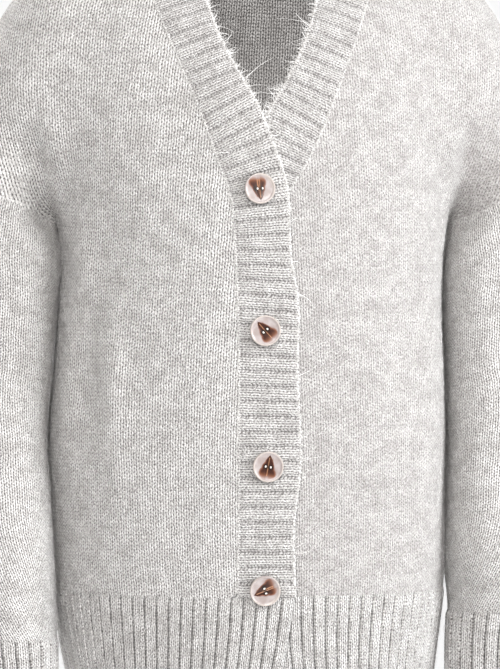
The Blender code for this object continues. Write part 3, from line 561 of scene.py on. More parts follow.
# %% The button band's two lines
BAND = (
    # seam x, y, z, free edge x, y, z, left band's move
    (-23.0, -127, -574, 22.5, -127, -574, 0), (-22.5, -130, -520, 20.8, -130, -520, 3),
    (-22.5, -132, -463, 26.0, -132, -463, 3), (-22.5, -134, -390, 23.5, -134, -392, 3),
    (-23.5, -134, -333, 24.0, -134, -336, 4), (-25.0, -134, -298, 18.2, -134, -298, 8),
    (-28.4, -132, -252, 15.8, -132, -244, 11), (-37.4, -130, -225, 4.6, -129, -207, 6),
    (-47.0, -126, -196, -8.5, -123, -174, 1), (-58.0, -119, -166, -21.5, -116, -150, 0),
    (-72.0, -107, -131, -37.0, -103, -117, 0), (-86.0, -87, -93, -48.0, -84, -80, 0),
    (-102.0, -62, -50, -58.0, -52, -38, 0), (-113.0, -30, -22, -67.0, -20, -5, 0),
    (-117.0, 5, -12, -70.0, 8, 3, 0), (-107.0, 47, -17, -63.0, 38, 9, 0), (-80.0, 78, -26, -46.0, 60, 12, 0),
    (-42.0, 94, -32, -24.0, 72, 12, 0), (0.0, 99, -34, 0.0, 76, 12, 0),
)
BAND_SHOULDER = 14  # the row of BAND where the shoulder seam meets it
FINE_STEPS = 600
FRONT_COLUMNS, NECK_COLUMNS, YOKE_ROWS = 24, 15, 28


def numbered(rows):
    return [(row, *values) for row, values in enumerate(rows)]


def band_lines(side, at):
    """The seam and the free edge of the band, at places counted in rows of BAND."""
    values = read(numbered(BAND), at)
    seam, edge = np.stack(values[:3], axis=-1), np.stack(values[3:6], axis=-1)
    if side == "left":
        for line in (seam, edge):
            line[..., 0] = -line[..., 0] - values[6]
    in_front = (np.asarray(at, float) < BAND_SHOULDER - 2.5)[..., None]
    ways_to_settle = (settle_front, settle)
    return [np.where(in_front, *(way(line, outside_body) for way in ways_to_settle)) for line in (seam, edge)]


def band_place(z):
    """The row of BAND, as a fraction, whose seam is at this height on the front."""
    rows = np.arange(0, BAND_SHOULDER + 0.01, 0.05)
    return np.interp(z, read(numbered(BAND), rows)[2], rows)


print("the band's lines have", len(BAND), "rows")


# %% Spacing points along a line
def lengths_along(line):
    steps = np.linalg.norm(np.diff(line, axis=0), axis=1)
    return np.concatenate([[0], np.cumsum(steps)])


def along(at, places, values):
    return np.stack([np.interp(at, places, column) for column in values.T], axis=1)


def spaced(line, shares, values=None):
    """Points at these shares of a line's length, or what else belongs to the line there."""
    length = lengths_along(line)
    return along(np.asarray(shares) * length[-1], length, line if values is None else values)


def torso_line(z, x_from, sign, back, shares):
    """Points on the torso at one height, from x_from in front or behind to the side seam."""
    right, left, front, depth_back = read(TORSO, z)
    half = float(right if sign < 0 else left)
    depth = float(depth_back if back else -front)
    start = math.acos(min(abs(x_from) / half, 1) ** (TORSO_POWER / 2))
    start = math.pi - start if x_from * sign < 0 else start
    angle = np.linspace(start, 0, FINE_STEPS)
    cosine, sine = np.cos(angle), np.sin(angle)
    x = sign * half * np.sign(cosine) * np.abs(cosine) ** (2 / TORSO_POWER)
    y = depth * np.abs(sine) ** (2 / TORSO_POWER)
    return spaced(np.stack([x, y, np.full_like(x, z)], axis=1), shares)


quarter = torso_line(UNDERARM_Z, 0.0, SIDES["left"], False, np.linspace(0, 1, FRONT_COLUMNS + 1))
print("a quarter of the chest:", round(lengths_along(quarter)[-1]), "mm")

# %% Armholes and shoulders
HEM_TOP_Z, HEM_BOTTOM_Z = -574.0, -649.0
ARMHOLE_RISE = 0.39  # mm upwards for each mm outwards
UNDERARM_CROWDING, SHOULDER_CROWDING = 1.3, 1.35  # over 1 crowds points towards the start
RING_ROUNDS = 6  # a slanting ring's height and width depend on each other, and agree after this many
SHOULDER = (
    # x, y, z
    (117, 5, -14), (148, 5, -33), (176, 5, -55), (200, 4, -82), (224, 2, -117), (241, 0, -161),
    (258, -2, -232),
)


def underarm_x(side):
    right, left, _, _ = read(TORSO, UNDERARM_Z)
    middle_x, _, half_x, _ = read(ARMS[side], UNDERARM_Z)
    return float(((right if side == "right" else left) + middle_x - half_x) / 2)


def underarm(side):
    return (SIDES[side] * underarm_x(side), 0, UNDERARM_Z)


def around_arm():
    """The angles from the underarm over the front of the arm to the overarm."""
    return math.pi * (1 - np.linspace(0, 1, YOKE_ROWS + 1) ** UNDERARM_CROWDING)


def arm_ring(side, turn, level, slant=0.0):
    """Points round an arm at these angles, in a plane that is at this level at the underarm."""
    z = np.full_like(turn, UNDERARM_Z)
    for _ in range(RING_ROUNDS):
        middle_x, middle_y, half_x, half_y = read(ARMS[side], z)
        x = middle_x + half_x * np.cos(turn)
        z = level + slant * (x - underarm_x(side))
    return np.stack([SIDES[side] * x, middle_y - half_y * np.sin(turn), z], axis=1)


def armhole_line(side, back):
    """The armhole seam, from the underarm round the front or the back of the arm to the overarm."""
    turn = -around_arm() if back else around_arm()
    line = settle(arm_ring(side, turn, UNDERARM_Z, ARMHOLE_RISE), outside_body)
    line[0] = underarm(side)
    line[-1] = settle(np.array(SHOULDER[-1]) * (SIDES[side], 1, 1), outside_body)
    return line


def shoulder_line(side):
    line = np.array(SHOULDER, float) * (SIDES[side], 1, 1)
    fine = read(numbered(line), np.linspace(0, len(line) - 1, FINE_STEPS)).T
    line = settle(spaced(fine, np.linspace(0, 1, FRONT_COLUMNS + 1)), outside_body)
    line[0] = band_lines(side, BAND_SHOULDER)[0]
    line[-1] = armhole_line(side, False)[-1]
    return line


def yoke_places():
    share = 1 - np.linspace(1, 0, YOKE_ROWS + 1) ** SHOULDER_CROWDING
    return band_place(UNDERARM_Z) + share * (BAND_SHOULDER - band_place(UNDERARM_Z))


def neck_places():
    share = np.linspace(0, 1, NECK_COLUMNS + 1) ** SHOULDER_CROWDING
    return BAND_SHOULDER + share * (len(BAND) - 1 - BAND_SHOULDER)


print("shoulder seam", round(lengths_along(shoulder_line("right"))[-1]), "mm")

# %% [markdown]
# ## The grids of the fronts and the back
# Below the underarm a panel's rows are level. Above it four edges enclose the yoke: the underarm row, the
# shoulder seam, the band's seam and the armhole. The inside is filled in between them (a Coons patch), evened
# out like a stretched net, and settled on the figure.

# %% Grids of the panels
PANEL_ROWS = 30
PANEL_HEIGHTS = np.linspace(HEM_TOP_Z, UNDERARM_Z, PANEL_ROWS + 1)
BACK_CURVE = (0, 30, 0)  # from a straight line up the back to somewhere near its curve


def between(bottom, top, inner, outer):
    u = np.linspace(0, 1, len(bottom))[None, :, None]
    v = np.linspace(0, 1, len(inner))[:, None, None]
    edges = (1 - v) * bottom[None] + v * top[None] + (1 - u) * inner[:, None] + u * outer[:, None]
    lower_corners = (1 - u) * bottom[0] + u * bottom[-1]
    upper_corners = (1 - u) * top[0] + u * top[-1]
    return edges - (1 - v) * lower_corners - v * upper_corners


def level_rows(side, starts, back, columns):
    """The rows from the hem to just below the underarm, and the row at the underarm."""
    shares = np.linspace(0, 1, columns + 1)
    rows = [torso_line(z, x, SIDES[side], back, shares) for z, x in zip(PANEL_HEIGHTS, starts)]
    last = settle(rows[-1], outside_body)
    last[-1] = underarm(side)
    return np.array(rows[:-1]), last


def with_yoke(lower, *edges):
    yoke = between(*edges)
    yoke[1:-1, 1:-1] = settle(yoke[1:-1, 1:-1], outside_body)
    return np.concatenate([lower, evened(yoke, outside_body)])


def front_grid(side):
    seams = band_lines(side, band_place(PANEL_HEIGHTS))[0][:, 0]
    lower, bottom = level_rows(side, seams, False, FRONT_COLUMNS)
    inner = band_lines(side, yoke_places())[0]
    inner[0] = bottom[0]
    return with_yoke(lower, bottom, shoulder_line(side), inner, armhole_line(side, False))


def back_half(side):
    lower, bottom = level_rows(side, np.zeros(len(PANEL_HEIGHTS)), True, NECK_COLUMNS + FRONT_COLUMNS)
    neck = band_lines(side, neck_places()[::-1])[0]
    top = np.concatenate([neck[:-1], shoulder_line(side)])
    centre_back = np.linspace(bottom[0], top[0], YOKE_ROWS + 1)
    centre_back = settle(centre_back + BACK_CURVE, outside_body)
    centre_back[0], centre_back[-1] = bottom[0], top[0]
    return with_yoke(lower, bottom, top, centre_back, armhole_line(side, True))


def panel_skins(grid, lifted):
    inner, way_out = skins(grid, outside_body, lifted)
    low = grid[..., 2] < UNDERARM_Z - 1
    return inner, np.where(low[..., None], unit(slope_of(outside_torso, grid)), way_out)


fronts = {side: panel_skins(front_grid(side), side == "right") for side in SIDES}
halves = [back_half(side) for side in SIDES]
back = panel_skins(np.concatenate([halves[0][:, ::-1], halves[1][:, 1:]], axis=1), False)
print("front grid", fronts["right"][0].shape, "back grid", back[0].shape)

# %% [markdown]
# ## From a grid of points to a sheet of cloth
# Blender's own grid primitive gives the faces; its points are moved to their places. The flat pattern of the
# cloth goes into a UV map in millimetres, because the stitches have to follow the cloth and not the room. A
# Subdivision Surface makes the sheet smooth, a Solidify gives it the thickness of the knitting, inwards, and
# an Edge Split keeps its cut edges crisp. Modifiers do it better than modelled walls, because one number sets
# all.


# %% Sheets of cloth
CLOTH_THICKNESS = WALL - 0.4  # mm; a little thinner than the wall of the solids
RIM_ANGLE = 75  # a sharper corner than this is the cloth's cut edge, and isn't shaded as a curve


def sheet(name, points, ways, flat, look, closed=False, levels=1, hole=None):
    """Cloth whose outer face goes through the points. flat has their places on the flat pattern in mm."""
    rows, columns = points.shape[:2]
    bm = bmesh.new()
    bmesh.ops.create_grid(bm, x_segments=columns - 1, y_segments=rows - 1, size=1)
    layer = bm.loops.layers.uv.new("knit")
    bm.verts.index_update()
    for vert, place in zip(bm.verts, points.reshape(-1, 3)):
        vert.co = place * MM
    flat_places = flat.reshape(-1, 2)
    for face in bm.faces:
        for loop in face.loops:
            loop[layer].uv = flat_places[loop.vert.index]
    bm.faces.ensure_lookup_table()
    bm.normal_update()
    middle = bm.faces[len(bm.faces) // 2]
    if middle.normal.dot(Vector(ways.reshape(-1, 3)[middle.verts[0].index])) < 0:
        bmesh.ops.reverse_faces(bm, faces=bm.faces)
    if closed:
        bmesh.ops.remove_doubles(bm, verts=bm.verts, dist=1e-6)
    if hole:
        inside = [face for face in bm.faces if hole(face.calc_center_median() / MM)]
        bmesh.ops.delete(bm, geom=inside, context="FACES")
    bm.normal_update()
    made = placed_mesh(name, bm, look)
    made.data.shade_smooth()
    if levels:
        smooth = made.modifiers.new("smooth", "SUBSURF")
        smooth.levels = smooth.render_levels = levels
    solid = made.modifiers.new("thickness", "SOLIDIFY")
    solid.thickness = CLOTH_THICKNESS * MM
    solid.offset = -1
    crisp = made.modifiers.new("crisp_edges", "EDGE_SPLIT")
    crisp.split_angle = math.radians(RIM_ANGLE)
    return made


def cell_areas(points):
    """The area of each cell of a grid of points, in square millimetres."""
    one = points[1:, 1:] - points[:-1, :-1]
    other = points[1:, :-1] - points[:-1, 1:]
    return np.linalg.norm(np.cross(one, other), axis=-1) / 2


def finished(made, node, points, cut=None):
    """Hangs the cloth on the cardigan, hides the solid it replaces and prints the size it was cut to."""
    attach(made, "root")
    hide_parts(node)
    area = cell_areas(points).sum()
    if cut is None:
        upwards = np.linalg.norm(np.diff(points, axis=0), axis=-1).sum(axis=0).max()
        across = np.linalg.norm(np.diff(points, axis=1), axis=-1).sum(axis=1).max()
        cut = (max(across, area / upwards), upwards)
    print(f"{made.name}: {cut[0]:.0f} by {cut[1]:.0f} mm, {area / 100:.0f} square cm")


print("cloth", round(CLOTH_THICKNESS, 1), "mm thick")

# %% [markdown]
# ## The flat pattern of a panel
# A knitted front is made flat, so its wales run straight up from the hem. Blender's unwrap finds the flat
# shape again. It comes out at any size and angle, so it is turned and scaled until the straight stretch of
# the band's seam stands upright at its true length. Projecting from the front would be quicker, but it would
# stretch the stitches at the sides.


# %% Unwrapping
ROWS_STRAIGHT = 18  # the band's seam is straight over this many rows from the hem


def unwrapped(made, low, high):
    """Rewrites the UV map as the flat pattern in mm, upright from point low to point high."""
    bpy.context.view_layer.objects.active = made
    made.select_set(True)
    bpy.ops.object.mode_set(mode="EDIT")
    bpy.ops.mesh.select_all(action="SELECT")
    bpy.ops.uv.unwrap(method="CONFORMAL", margin=0)
    bpy.ops.object.mode_set(mode="OBJECT")
    made.select_set(False)
    mesh = made.data
    corners = np.empty(len(mesh.loops), int)
    mesh.loops.foreach_get("vertex_index", corners)
    flat = np.empty(len(mesh.loops) * 2)
    mesh.uv_layers["knit"].data.foreach_get("uv", flat)
    flat = flat[::2] + 1j * flat[1::2]
    ends = [flat[np.argmax(corners == point)] for point in (low, high)]
    length = (mesh.vertices[low].co - mesh.vertices[high].co).length / MM
    flat = (flat - ends[0]) * 1j * length / (ends[1] - ends[0])
    mesh.uv_layers["knit"].data.foreach_set("uv", np.stack([flat.real, flat.imag], axis=1).ravel())
    return np.ptp(flat.real), np.ptp(flat.imag)


def panel(name, inner, ways, column=0, look=knit):
    """A flat-knitted panel whose pattern stands upright along this column of its grid."""
    outer = inner + WALL * ways
    rows, columns = outer.shape[:2]
    made = sheet(name + "_knit", outer, ways, np.zeros((rows, columns, 2)), look)
    cut = unwrapped(made, column, column + ROWS_STRAIGHT * columns)
    finished(made, name, outer, cut)
    surfaces[name] = (outer, ways)


surfaces = {}
panel("front_right", *fronts["right"])
# The left front wears the copy of the yarn with painted light: the look of the bright window light on it
panel("front_left", *fronts["left"], look=lit_side_knit)
panel("back", *back, column=back[0].shape[1] // 2)

# %% [markdown]
# ## Sleeves
# A sleeve is a tube, so it needs no unwrap: its flat pattern is the distance round from the overarm line and
# the distance down. The first ring is the armhole seam, which slants, and the rings below it grow level.

# %% Sleeves
SLEEVE_ROWS, SLEEVE_CROWDING = 34, 1.12
CUFF_TOP_Z = {"right": -611.0, "left": -594.0}
SQUARER_INSIDE, SQUARER_OUTSIDE = 1.1, 0.25  # what is added to an oval's power of 2
SQUARER_START, SQUARER_END = (-256, 26), (-530, 60)  # z, and over how many mm it comes and goes


def sleeve_power(z, across):
    """A sleeve is an oval at its ends. Between them it lies flat against the body."""
    comes, goes = (rise((from_z - z) / over) for from_z, over in (SQUARER_START, SQUARER_END))
    return 2 + np.where(across < 0, SQUARER_INSIDE, SQUARER_OUTSIDE) * (comes * (1 - goes))


def sleeve_turns():
    """The angles of a sleeve's points: from the underarm over the front to the overarm, and back behind."""
    return np.concatenate([around_arm(), -around_arm()[-2::-1]])


def sleeve_rings(side):
    front, rear = armhole_line(side, False), armhole_line(side, True)
    rings = [np.concatenate([front, rear[-2::-1]])]
    for share in np.linspace(0, 1, SLEEVE_ROWS + 1)[1:] ** SLEEVE_CROWDING:
        level = UNDERARM_Z + share * (CUFF_TOP_Z[side] - UNDERARM_Z)
        ring = arm_ring(side, sleeve_turns(), level, (1 - share) * ARMHOLE_RISE)
        rings.append(settle(ring, outside_arm(side, sleeve_power)))
    return np.array(rings)


def tube_pattern(rings):
    """Distance round from the overarm line, and distance down the sleeve."""
    steps = np.linalg.norm(np.diff(rings, axis=1), axis=-1)
    round_it = np.concatenate([np.zeros((len(rings), 1)), np.cumsum(steps, axis=1)], axis=1)
    round_it -= round_it[:, YOKE_ROWS : YOKE_ROWS + 1]
    down = lengths_along(rings[:, YOKE_ROWS])
    return np.stack([round_it, np.broadcast_to(-down[:, None], round_it.shape)], axis=-1)


sleeve_ends = {}
for side in SIDES:
    rings = sleeve_rings(side)
    inner, ways = skins(rings, outside_arm(side, sleeve_power))
    inner[0], ways[0] = skins(rings[0], outside_body)
    outer = inner + WALL * ways
    sleeve = sheet(f"sleeve_{side}_knit", outer, ways, tube_pattern(outer), knit, closed=True)
    finished(sleeve, "sleeve_" + side, outer)
    surfaces["sleeve_" + side] = (outer, ways)
    sleeve_ends[side] = (inner[-1], ways[-1])

# %% [markdown]
# ## Ribbing
# Two stitches knitted and one purled draw together into ribs: rounded backs two wales wide, with narrow dark
# valleys between them. The relief is real here, raised square to the cloth, because ribs show in the outline
# and in every raking light. A bump in the finish would vanish there. Each ribbed piece is a fine grid, with
# eighteen points to a rib, on a smooth curve through three lines: where it is picked up, its middle and its
# end.

# %% Ribs
POINTS_IN_RIB = 18
HEM_RIB, BAND_RIB, CUFF_RIB = 10.4, 12.2, 11.6  # mm from one valley to the next
DEEP_RIB = (0.6, 1.5, 0.35, 0.13)
RELIEF = {
    # valley depth, ridge height, dip between the ridge's two wales, half width of the valley in ribs
    HEM_RIB: DEEP_RIB,
    BAND_RIB: (0.2, 0.9, 0.5, 0.32),
    CUFF_RIB: DEEP_RIB,
}
VALLEY_FLOOR, BACK_POWER, DIP_WIDTH = 0.02, 0.8, 0.07  # both widths in ribs
WANDER = ((0.014, 7.3, 2.1), (0.009, 3.1, -3.7))  # ribs, mm for each radian, radians for each rib
EDGE_FADE, LAST_ROW_KEEPS = 3.5, 0.8  # mm over which the ribs rise from a seam; the last row has part of it
SEAM_GAP = 0.1


def rib_relief(places, rib):
    """How far the outer face stands from the wall, at places counted in ribs from a valley."""
    valley, ridge, dip, width = RELIEF[rib]
    from_valley = 0.5 - np.abs(places % 1 - 0.5)
    back = rise((from_valley - VALLEY_FLOOR) / width) ** BACK_POWER
    between_wales = np.exp(-(((from_valley - 0.5) / DIP_WIDTH) ** 2))
    return -valley + (ridge + valley) * back - dip * between_wales


def curved_between(three, steps):
    """Rows on a smooth curve through three rows."""
    t = np.linspace(0, 1, steps)[:, None, None]
    first, middle, last = three
    return first * (1 - t) * (1 - 2 * t) + middle * 4 * t * (1 - t) + last * t * (2 * t - 1)


def ribbed(name, rows, ways, rib, repeats, steps=17, closed=False, hole=None):
    """A ribbed sheet from its first, middle and last rows."""
    inner = curved_between(rows, steps)
    out = unit(curved_between(ways, steps))
    places = np.linspace(0, repeats, inner.shape[1])
    down = lengths_along(inner[:, inner.shape[1] // 2])
    wander = sum(size * np.sin(down[:, None] / over + places[None] * turn) for size, over, turn in WANDER)
    fade = rise(down / EDGE_FADE) * rise((down[-1] - down + LAST_ROW_KEEPS) / EDGE_FADE)
    relief = rib_relief(places[None] + wander * fade[:, None], rib) * fade[:, None]
    outer = inner + (WALL + relief)[..., None] * out
    pattern = np.stack(np.broadcast_arrays(places[None] * rib, -down[:, None]), axis=-1)
    made = sheet(name + "_rib", outer, out, pattern, rib_knits[rib], closed=closed, levels=0, hole=hole)
    finished(made, name, curved_between(rows, steps) + WALL * out)
    surfaces[name] = (outer, out)


rib_knits = {
    HEM_RIB: yarn("hem_rib", HEM_RIB / WALES_IN_RIB, ribbed=True),
    BAND_RIB: yarn("band_rib", BAND_RIB / WALES_IN_RIB, ribbed=True, valley_width=0.22, shade_evening=0.35),
    CUFF_RIB: yarn("cuff_rib", CUFF_RIB / WALES_IN_RIB, ribbed=True),
}
print("rib finishes:", ", ".join(look.name for look in rib_knits.values()))

# %% [markdown]
# ### Cuffs
# A cuff starts on the sleeve's last ring and goes down to a smaller oval, so the sleeve puffs a little above
# it. The number of ribs is the length of that ring divided by a rib, rounded, because a tube has no half
# ribs.

# %% Cuffs
CUFF_LENGTH = 78.0
cuff_ends = {}
for side in SIDES:
    ring, way_out = sleeve_ends[side]
    repeats = round(lengths_along(ring)[-1] / CUFF_RIB)
    turn = math.pi - math.tau * np.linspace(0, 1, repeats * POINTS_IN_RIB + 1)
    turns = np.append(sleeve_turns()[:-1], -math.pi)
    top = (along(-turn, -turns, ring) - (0, 0, SEAM_GAP), along(-turn, -turns, way_out))
    levels = [CUFF_TOP_Z[side] - share * CUFF_LENGTH for share in (0.5, 1.0)]
    rows, ways = zip(top, *(skins(arm_ring(side, turn, level), outside_arm(side)) for level in levels))
    ribbed("cuff_" + side, rows, ways, CUFF_RIB, repeats, closed=True)
    cuff_ends[side] = (rows[-1], ways[-1])

# %% [markdown]
# ### Button band
# The band is knitted sideways, so its ribs run across it. It is laid between its seam and its free edge, with
# the same length of band to every rib. The buttonholes are real openings: the faces that lie in them are
# taken out of the right band before it gets its thickness.

# %% Button band
BUTTONS = (
    # x, z, turn in degrees, how many mm the stain's tip leans across the slit
    (-5.7, -243.6, 184, 1.9),
    (-1.6, -358.0, 42, 0.0),
    (0.8, -467.7, -10, 0.1),
    (-1.2, -567.6, 111, 1.6),
)
BUTTONHOLE_LENGTH, BUTTONHOLE_WIDTH = 15.0, 3.6


def in_buttonhole(place):
    """Whether a place on the right band lies in one of its buttonholes, in millimetres."""
    return place.y < 0 and any(
        abs(place.x - x) < BUTTONHOLE_LENGTH / 2 and abs(place.z - z) < BUTTONHOLE_WIDTH / 2
        for x, z, *_ in BUTTONS
    )


bands = {}
for side in SIDES:
    at = np.linspace(0, len(BAND) - 1, FINE_STEPS)
    seam, edge = band_lines(side, at)
    length = lengths_along((seam + edge) / 2)
    repeats = round(length[-1] / BAND_RIB)
    at = np.interp(np.linspace(0, 1, repeats * POINTS_IN_RIB + 1) * length[-1], length, at)
    seam, edge = band_lines(side, at)
    middle = settle((seam + edge) / 2, outside_body)
    rows, ways = zip(*(skins(line, outside_body, side == "right") for line in (seam, middle, edge)))
    rows, ways = np.array(rows), np.array(ways)
    rows[:, -1, 0] = 0
    bands[side] = (rows, ways)
    hole = in_buttonhole if side == "right" else None
    ribbed("band_" + side, rows, ways, BAND_RIB, repeats, hole=hole)

# %% [markdown]
# ### Hem
# The hem is picked up along the bottom of each panel and of the band, and draws in towards its lower edge.
# Its top row is read from the finished panels, so no gap opens between them and the ribs.

# %% Hem
HEM_FRONT_EDGE = ((-574, 22.5), (-606, 19.0), (-649, 11.0))  # z, x of the free edge below the band
hem_ends = {}


def hem(name, top, top_way, line_at, lifted=False, open_start=False):
    repeats = round(lengths_along(top)[-1] / HEM_RIB)
    places = np.linspace(0, 1, repeats * POINTS_IN_RIB + 1)
    rows, ways = [spaced(top, places) - (0, 0, SEAM_GAP)], [spaced(top, places, top_way)]
    for z in ((HEM_TOP_Z + HEM_BOTTOM_Z) / 2, HEM_BOTTOM_Z):
        line = line_at(z)
        trim = SEAM_GAP / 2 / lengths_along(line)[-1]
        start = 0.0 if open_start else trim
        row, way = skins(spaced(line, start + places * (1 - trim - start)), outside_torso, lifted)
        rows.append(row)
        ways.append(way)
    ribbed(name, rows, ways, HEM_RIB, repeats)
    hem_ends[name] = (rows, ways)


many = np.linspace(0, 1, FINE_STEPS)
for side, sign in SIDES.items():
    both = zip(bands[side], fronts[side])
    top, top_way = (np.concatenate([of_band[:0:-1, 0], of_front[0]]) for of_band, of_front in both)

    def front_line(z, sign=sign):
        return torso_line(z, -sign * float(read(HEM_FRONT_EDGE, z)[0]), sign, False, many)

    hem("hem_front_" + side, top, top_way, front_line, side == "right", open_start=True)


def back_line(z):
    right, left = (torso_line(z, 0.0, sign, True, many) for sign in SIDES.values())
    return np.concatenate([right[::-1], left[1:]])


hem("hem_back", back[0][0], back[1][0], back_line)

# %% [markdown]
# ## Edges and seams
# A knitted edge ends in a chain: each stitch pulled through the one before, like a plait lying on the rim.
# The same small chain shows where the band was picked up from the front. Every link here is one egg-shaped
# bead, tilted a little to one side and then to the other, so a row of them reads as a chain at any distance.
# A curve with a round profile would be quicker, but it would look like piping.

# %% Chains
PALE_LINK, DARK_LINK = (0.64, 0.63, 0.62, 1), (0.45, 0.44, 0.43, 1)
SHAKEN_MM, SHAKEN_DEGREES, SHAKEN_SIZE = 0.12, 5, (0.85, 1.15)  # no two links are quite alike
chain_yarn = Finish("chain_yarn", 0.95, Sheen_Weight=0.3, Sheen_Roughness=0.5, Specular_IOR_Level=0.2)
shade, hairs = chain_yarn.object_noise(260.0, 3.0), chain_yarn.object_noise(900.0, 3.0)
chain_colour = chain_yarn.mix(shade.within(0.35, 0.6), DARK_LINK, PALE_LINK)
chain_colour = chain_yarn.mix(((hairs - 0.42) * 3.2).soft() * 0.8, chain_colour, SHADE_AND_DARK_FIBRE)
chain_look = chain_yarn.wear(chain_colour, chain_yarn.bump(hairs, 0.0004, 0.8))


def mesh_object(name, bm, look):
    """A finished piece from a bmesh, riding on the cardigan."""
    made = placed_mesh(name, bm, look)
    made.data.shade_smooth()
    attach(made, "root")
    return made


def chain(name, runs, pitch, length, width, height, tilt, seed):
    """Links along lines. Each run is a line with its ways out, both in mm. The tilt is in degrees."""
    rng = np.random.default_rng(seed)
    bead = bmesh.new()
    bmesh.ops.create_uvsphere(bead, u_segments=7, v_segments=5, radius=MM)
    link = mesh_from("link", bead)
    bm = bmesh.new()
    count = 0
    for line, ways in runs:
        links = round(lengths_along(line)[-1] / pitch)
        shares = (np.arange(links) + 0.5) / links
        places, out = spaced(line, shares), unit(spaced(line, shares, ways))
        places += rng.normal(0, SHAKEN_MM, places.shape)
        along_it = unit(np.gradient(places, axis=0))
        for number in range(links):
            forward, up = Vector(along_it[number]), Vector(out[number])
            turn = (tilt if number % 2 else -tilt) + rng.normal(0, SHAKEN_DEGREES)
            forward = Matrix.Rotation(math.radians(turn), 3, up) @ forward
            aside = up.cross(forward).normalized()
            size = rng.uniform(*SHAKEN_SIZE) / 2
            axes = Matrix((forward * length * size, aside * width * size, up * height * size)).transposed()
            place = Matrix.Translation(Vector(places[number]) * MM) @ axes.to_4x4()
            link.transform(place)
            bm.from_mesh(link)
            link.transform(place.inverted())
        count += links
    bpy.data.meshes.remove(link)
    mesh_object(name, bm, chain_look)
    print(f"{name}: {count} links")


def beyond_edge(rows, ways, by, up):
    """The last row of a ribbed piece, moved on past its edge and up from its inside."""
    away = unit(rows[-1] - rows[1])
    return rows[-1] + by * away + up * ways[-1], ways[-1]


edge_runs = [beyond_edge(rows, ways, 0.7, WALL * 0.6) for rows, ways in bands.values()]
chain("band_edge_chain", edge_runs, pitch=2.9, length=4.4, width=3.4, height=3.0, tilt=34, seed=1)
seam_runs = [(rows[0] + (WALL + 0.1) * ways[0], ways[0]) for rows, ways in bands.values()]
chain("band_seam_chain", seam_runs, pitch=2.9, length=3.4, width=1.7, height=0.7, tilt=24, seed=2)
rim_runs = [beyond_edge(rows, ways, 0.2, WALL * 0.5) for rows, ways in hem_ends.values()]
rim_runs += [(row + WALL * 0.5 * way, way) for row, way in cuff_ends.values()]
chain("cast_off_chain", rim_runs, pitch=3.4, length=4.4, width=2.2, height=2.8, tilt=20, seed=3)

# %% [markdown]
# ## Horn buttons
# The buttons are turned discs of pearly imitation horn with a thin raised rim, a shallow fish-eye hollow with
# a slit along it and a brown stain that is pointed at one end, as in a slice of real horn. A profile is spun
# round for the disc. The hollow, the slit and the two thread holes are cut with the Boolean modifier, which
# leaves crisp edges. The stain is painted by the shader in the button's own flat coordinates, so each can
# lean its way.
# The face round the thread holes is painted near black: painted shade in the holes.
# The slit is painted a paler brown: a painted reflection of light on its polished walls.

# %% Button finish
STAIN_TIP, STAIN_LENGTH, STAIN_HALF_WIDTH = 9.6, 19.0, 9.0
PEARL, PALE_PEARL, RIM_PEARL = (0.30, 0.252, 0.24, 1), (0.385, 0.345, 0.34, 1), (0.46, 0.41, 0.38, 1)
BROWN, PALE_BROWN, DARK_BROWN = (0.14, 0.04, 0.015, 1), (0.2, 0.07, 0.028, 1), (0.03, 0.008, 0.004, 1)
# The near black round the thread holes is painted shade
# The slit's paler brown is a painted reflection
SLIT_REFLECTION_BROWN, HOLE_SHADE_BROWN = (0.46, 0.235, 0.13, 1), (0.014, 0.007, 0.005, 1)
pearl = Finish("pearly_horn", 0.3, Coat_Weight=0.25, Coat_Roughness=0.1, Specular_IOR_Level=0.35)
u, v = pearl.sheet_coordinates("face")
from_tip = ((STAIN_TIP - v) / STAIN_LENGTH).most(0.001)
ragged = pearl.noise(u, v, 2.2, 4.5, detail=3.0, seed=2.0) - 0.5
half = from_tip.least(1.1) ** 0.75 * (1 - from_tip.within(0.72, 1.2) * 0.75) * STAIN_HALF_WIDTH
blur = from_tip * 2.4 + 0.3
inside_stain = ((half - abs(u) + ragged * 2.4) / blur + 0.45).soft()
middle_gap = (1 - abs(u).within(0.3, 1.7)) * from_tip.within(0.84, 1.0)
stain = inside_stain * (1 - from_tip.within(0.84, 1.12)) * (1 - middle_gap * 0.7)
core = ((half * 0.8 - abs(u) + ragged * 3.4) / blur + 0.4).soft() * (1 - from_tip.within(0.68, 1.0))
# The slit, a real cut, is painted a paler brown: a painted reflection of light on its polished walls
slit = (1 - abs(u).within(0.2, 0.5)) * (1 - abs(v).within(6.8, 8.2))
# Near black round the thread holes: painted shade, the shade that falls into the holes
hole_shade = 1 - (((abs(u) - 2.0) ** 2 + v * v) ** 0.5).within(1.5, 2.7)
swirl = pearl.noise(u, v, 7.0, 9.0, detail=3.0, seed=6.0).within(0.35, 0.65)
rim = ((u * u + v * v) ** 0.5).within(10.9, 11.7)
face = pearl.mix(swirl, PEARL, PALE_PEARL)
brown = pearl.mix(from_tip.within(0.6, 1.0), BROWN, PALE_BROWN)
for share, colour in (
    (stain * 0.95, brown),
    (core * 0.95, DARK_BROWN),
    (slit * 0.7, SLIT_REFLECTION_BROWN),
    (hole_shade * 0.95, HOLE_SHADE_BROWN),
    (rim * 0.8, RIM_PEARL),
):
    face = pearl.mix(share, face, colour)
horn = pearl.wear(face, pearl.bump(pearl.noise(u, v, 3.0, 3.0), 0.0002, 0.3))
print("button finish:", horn.name)

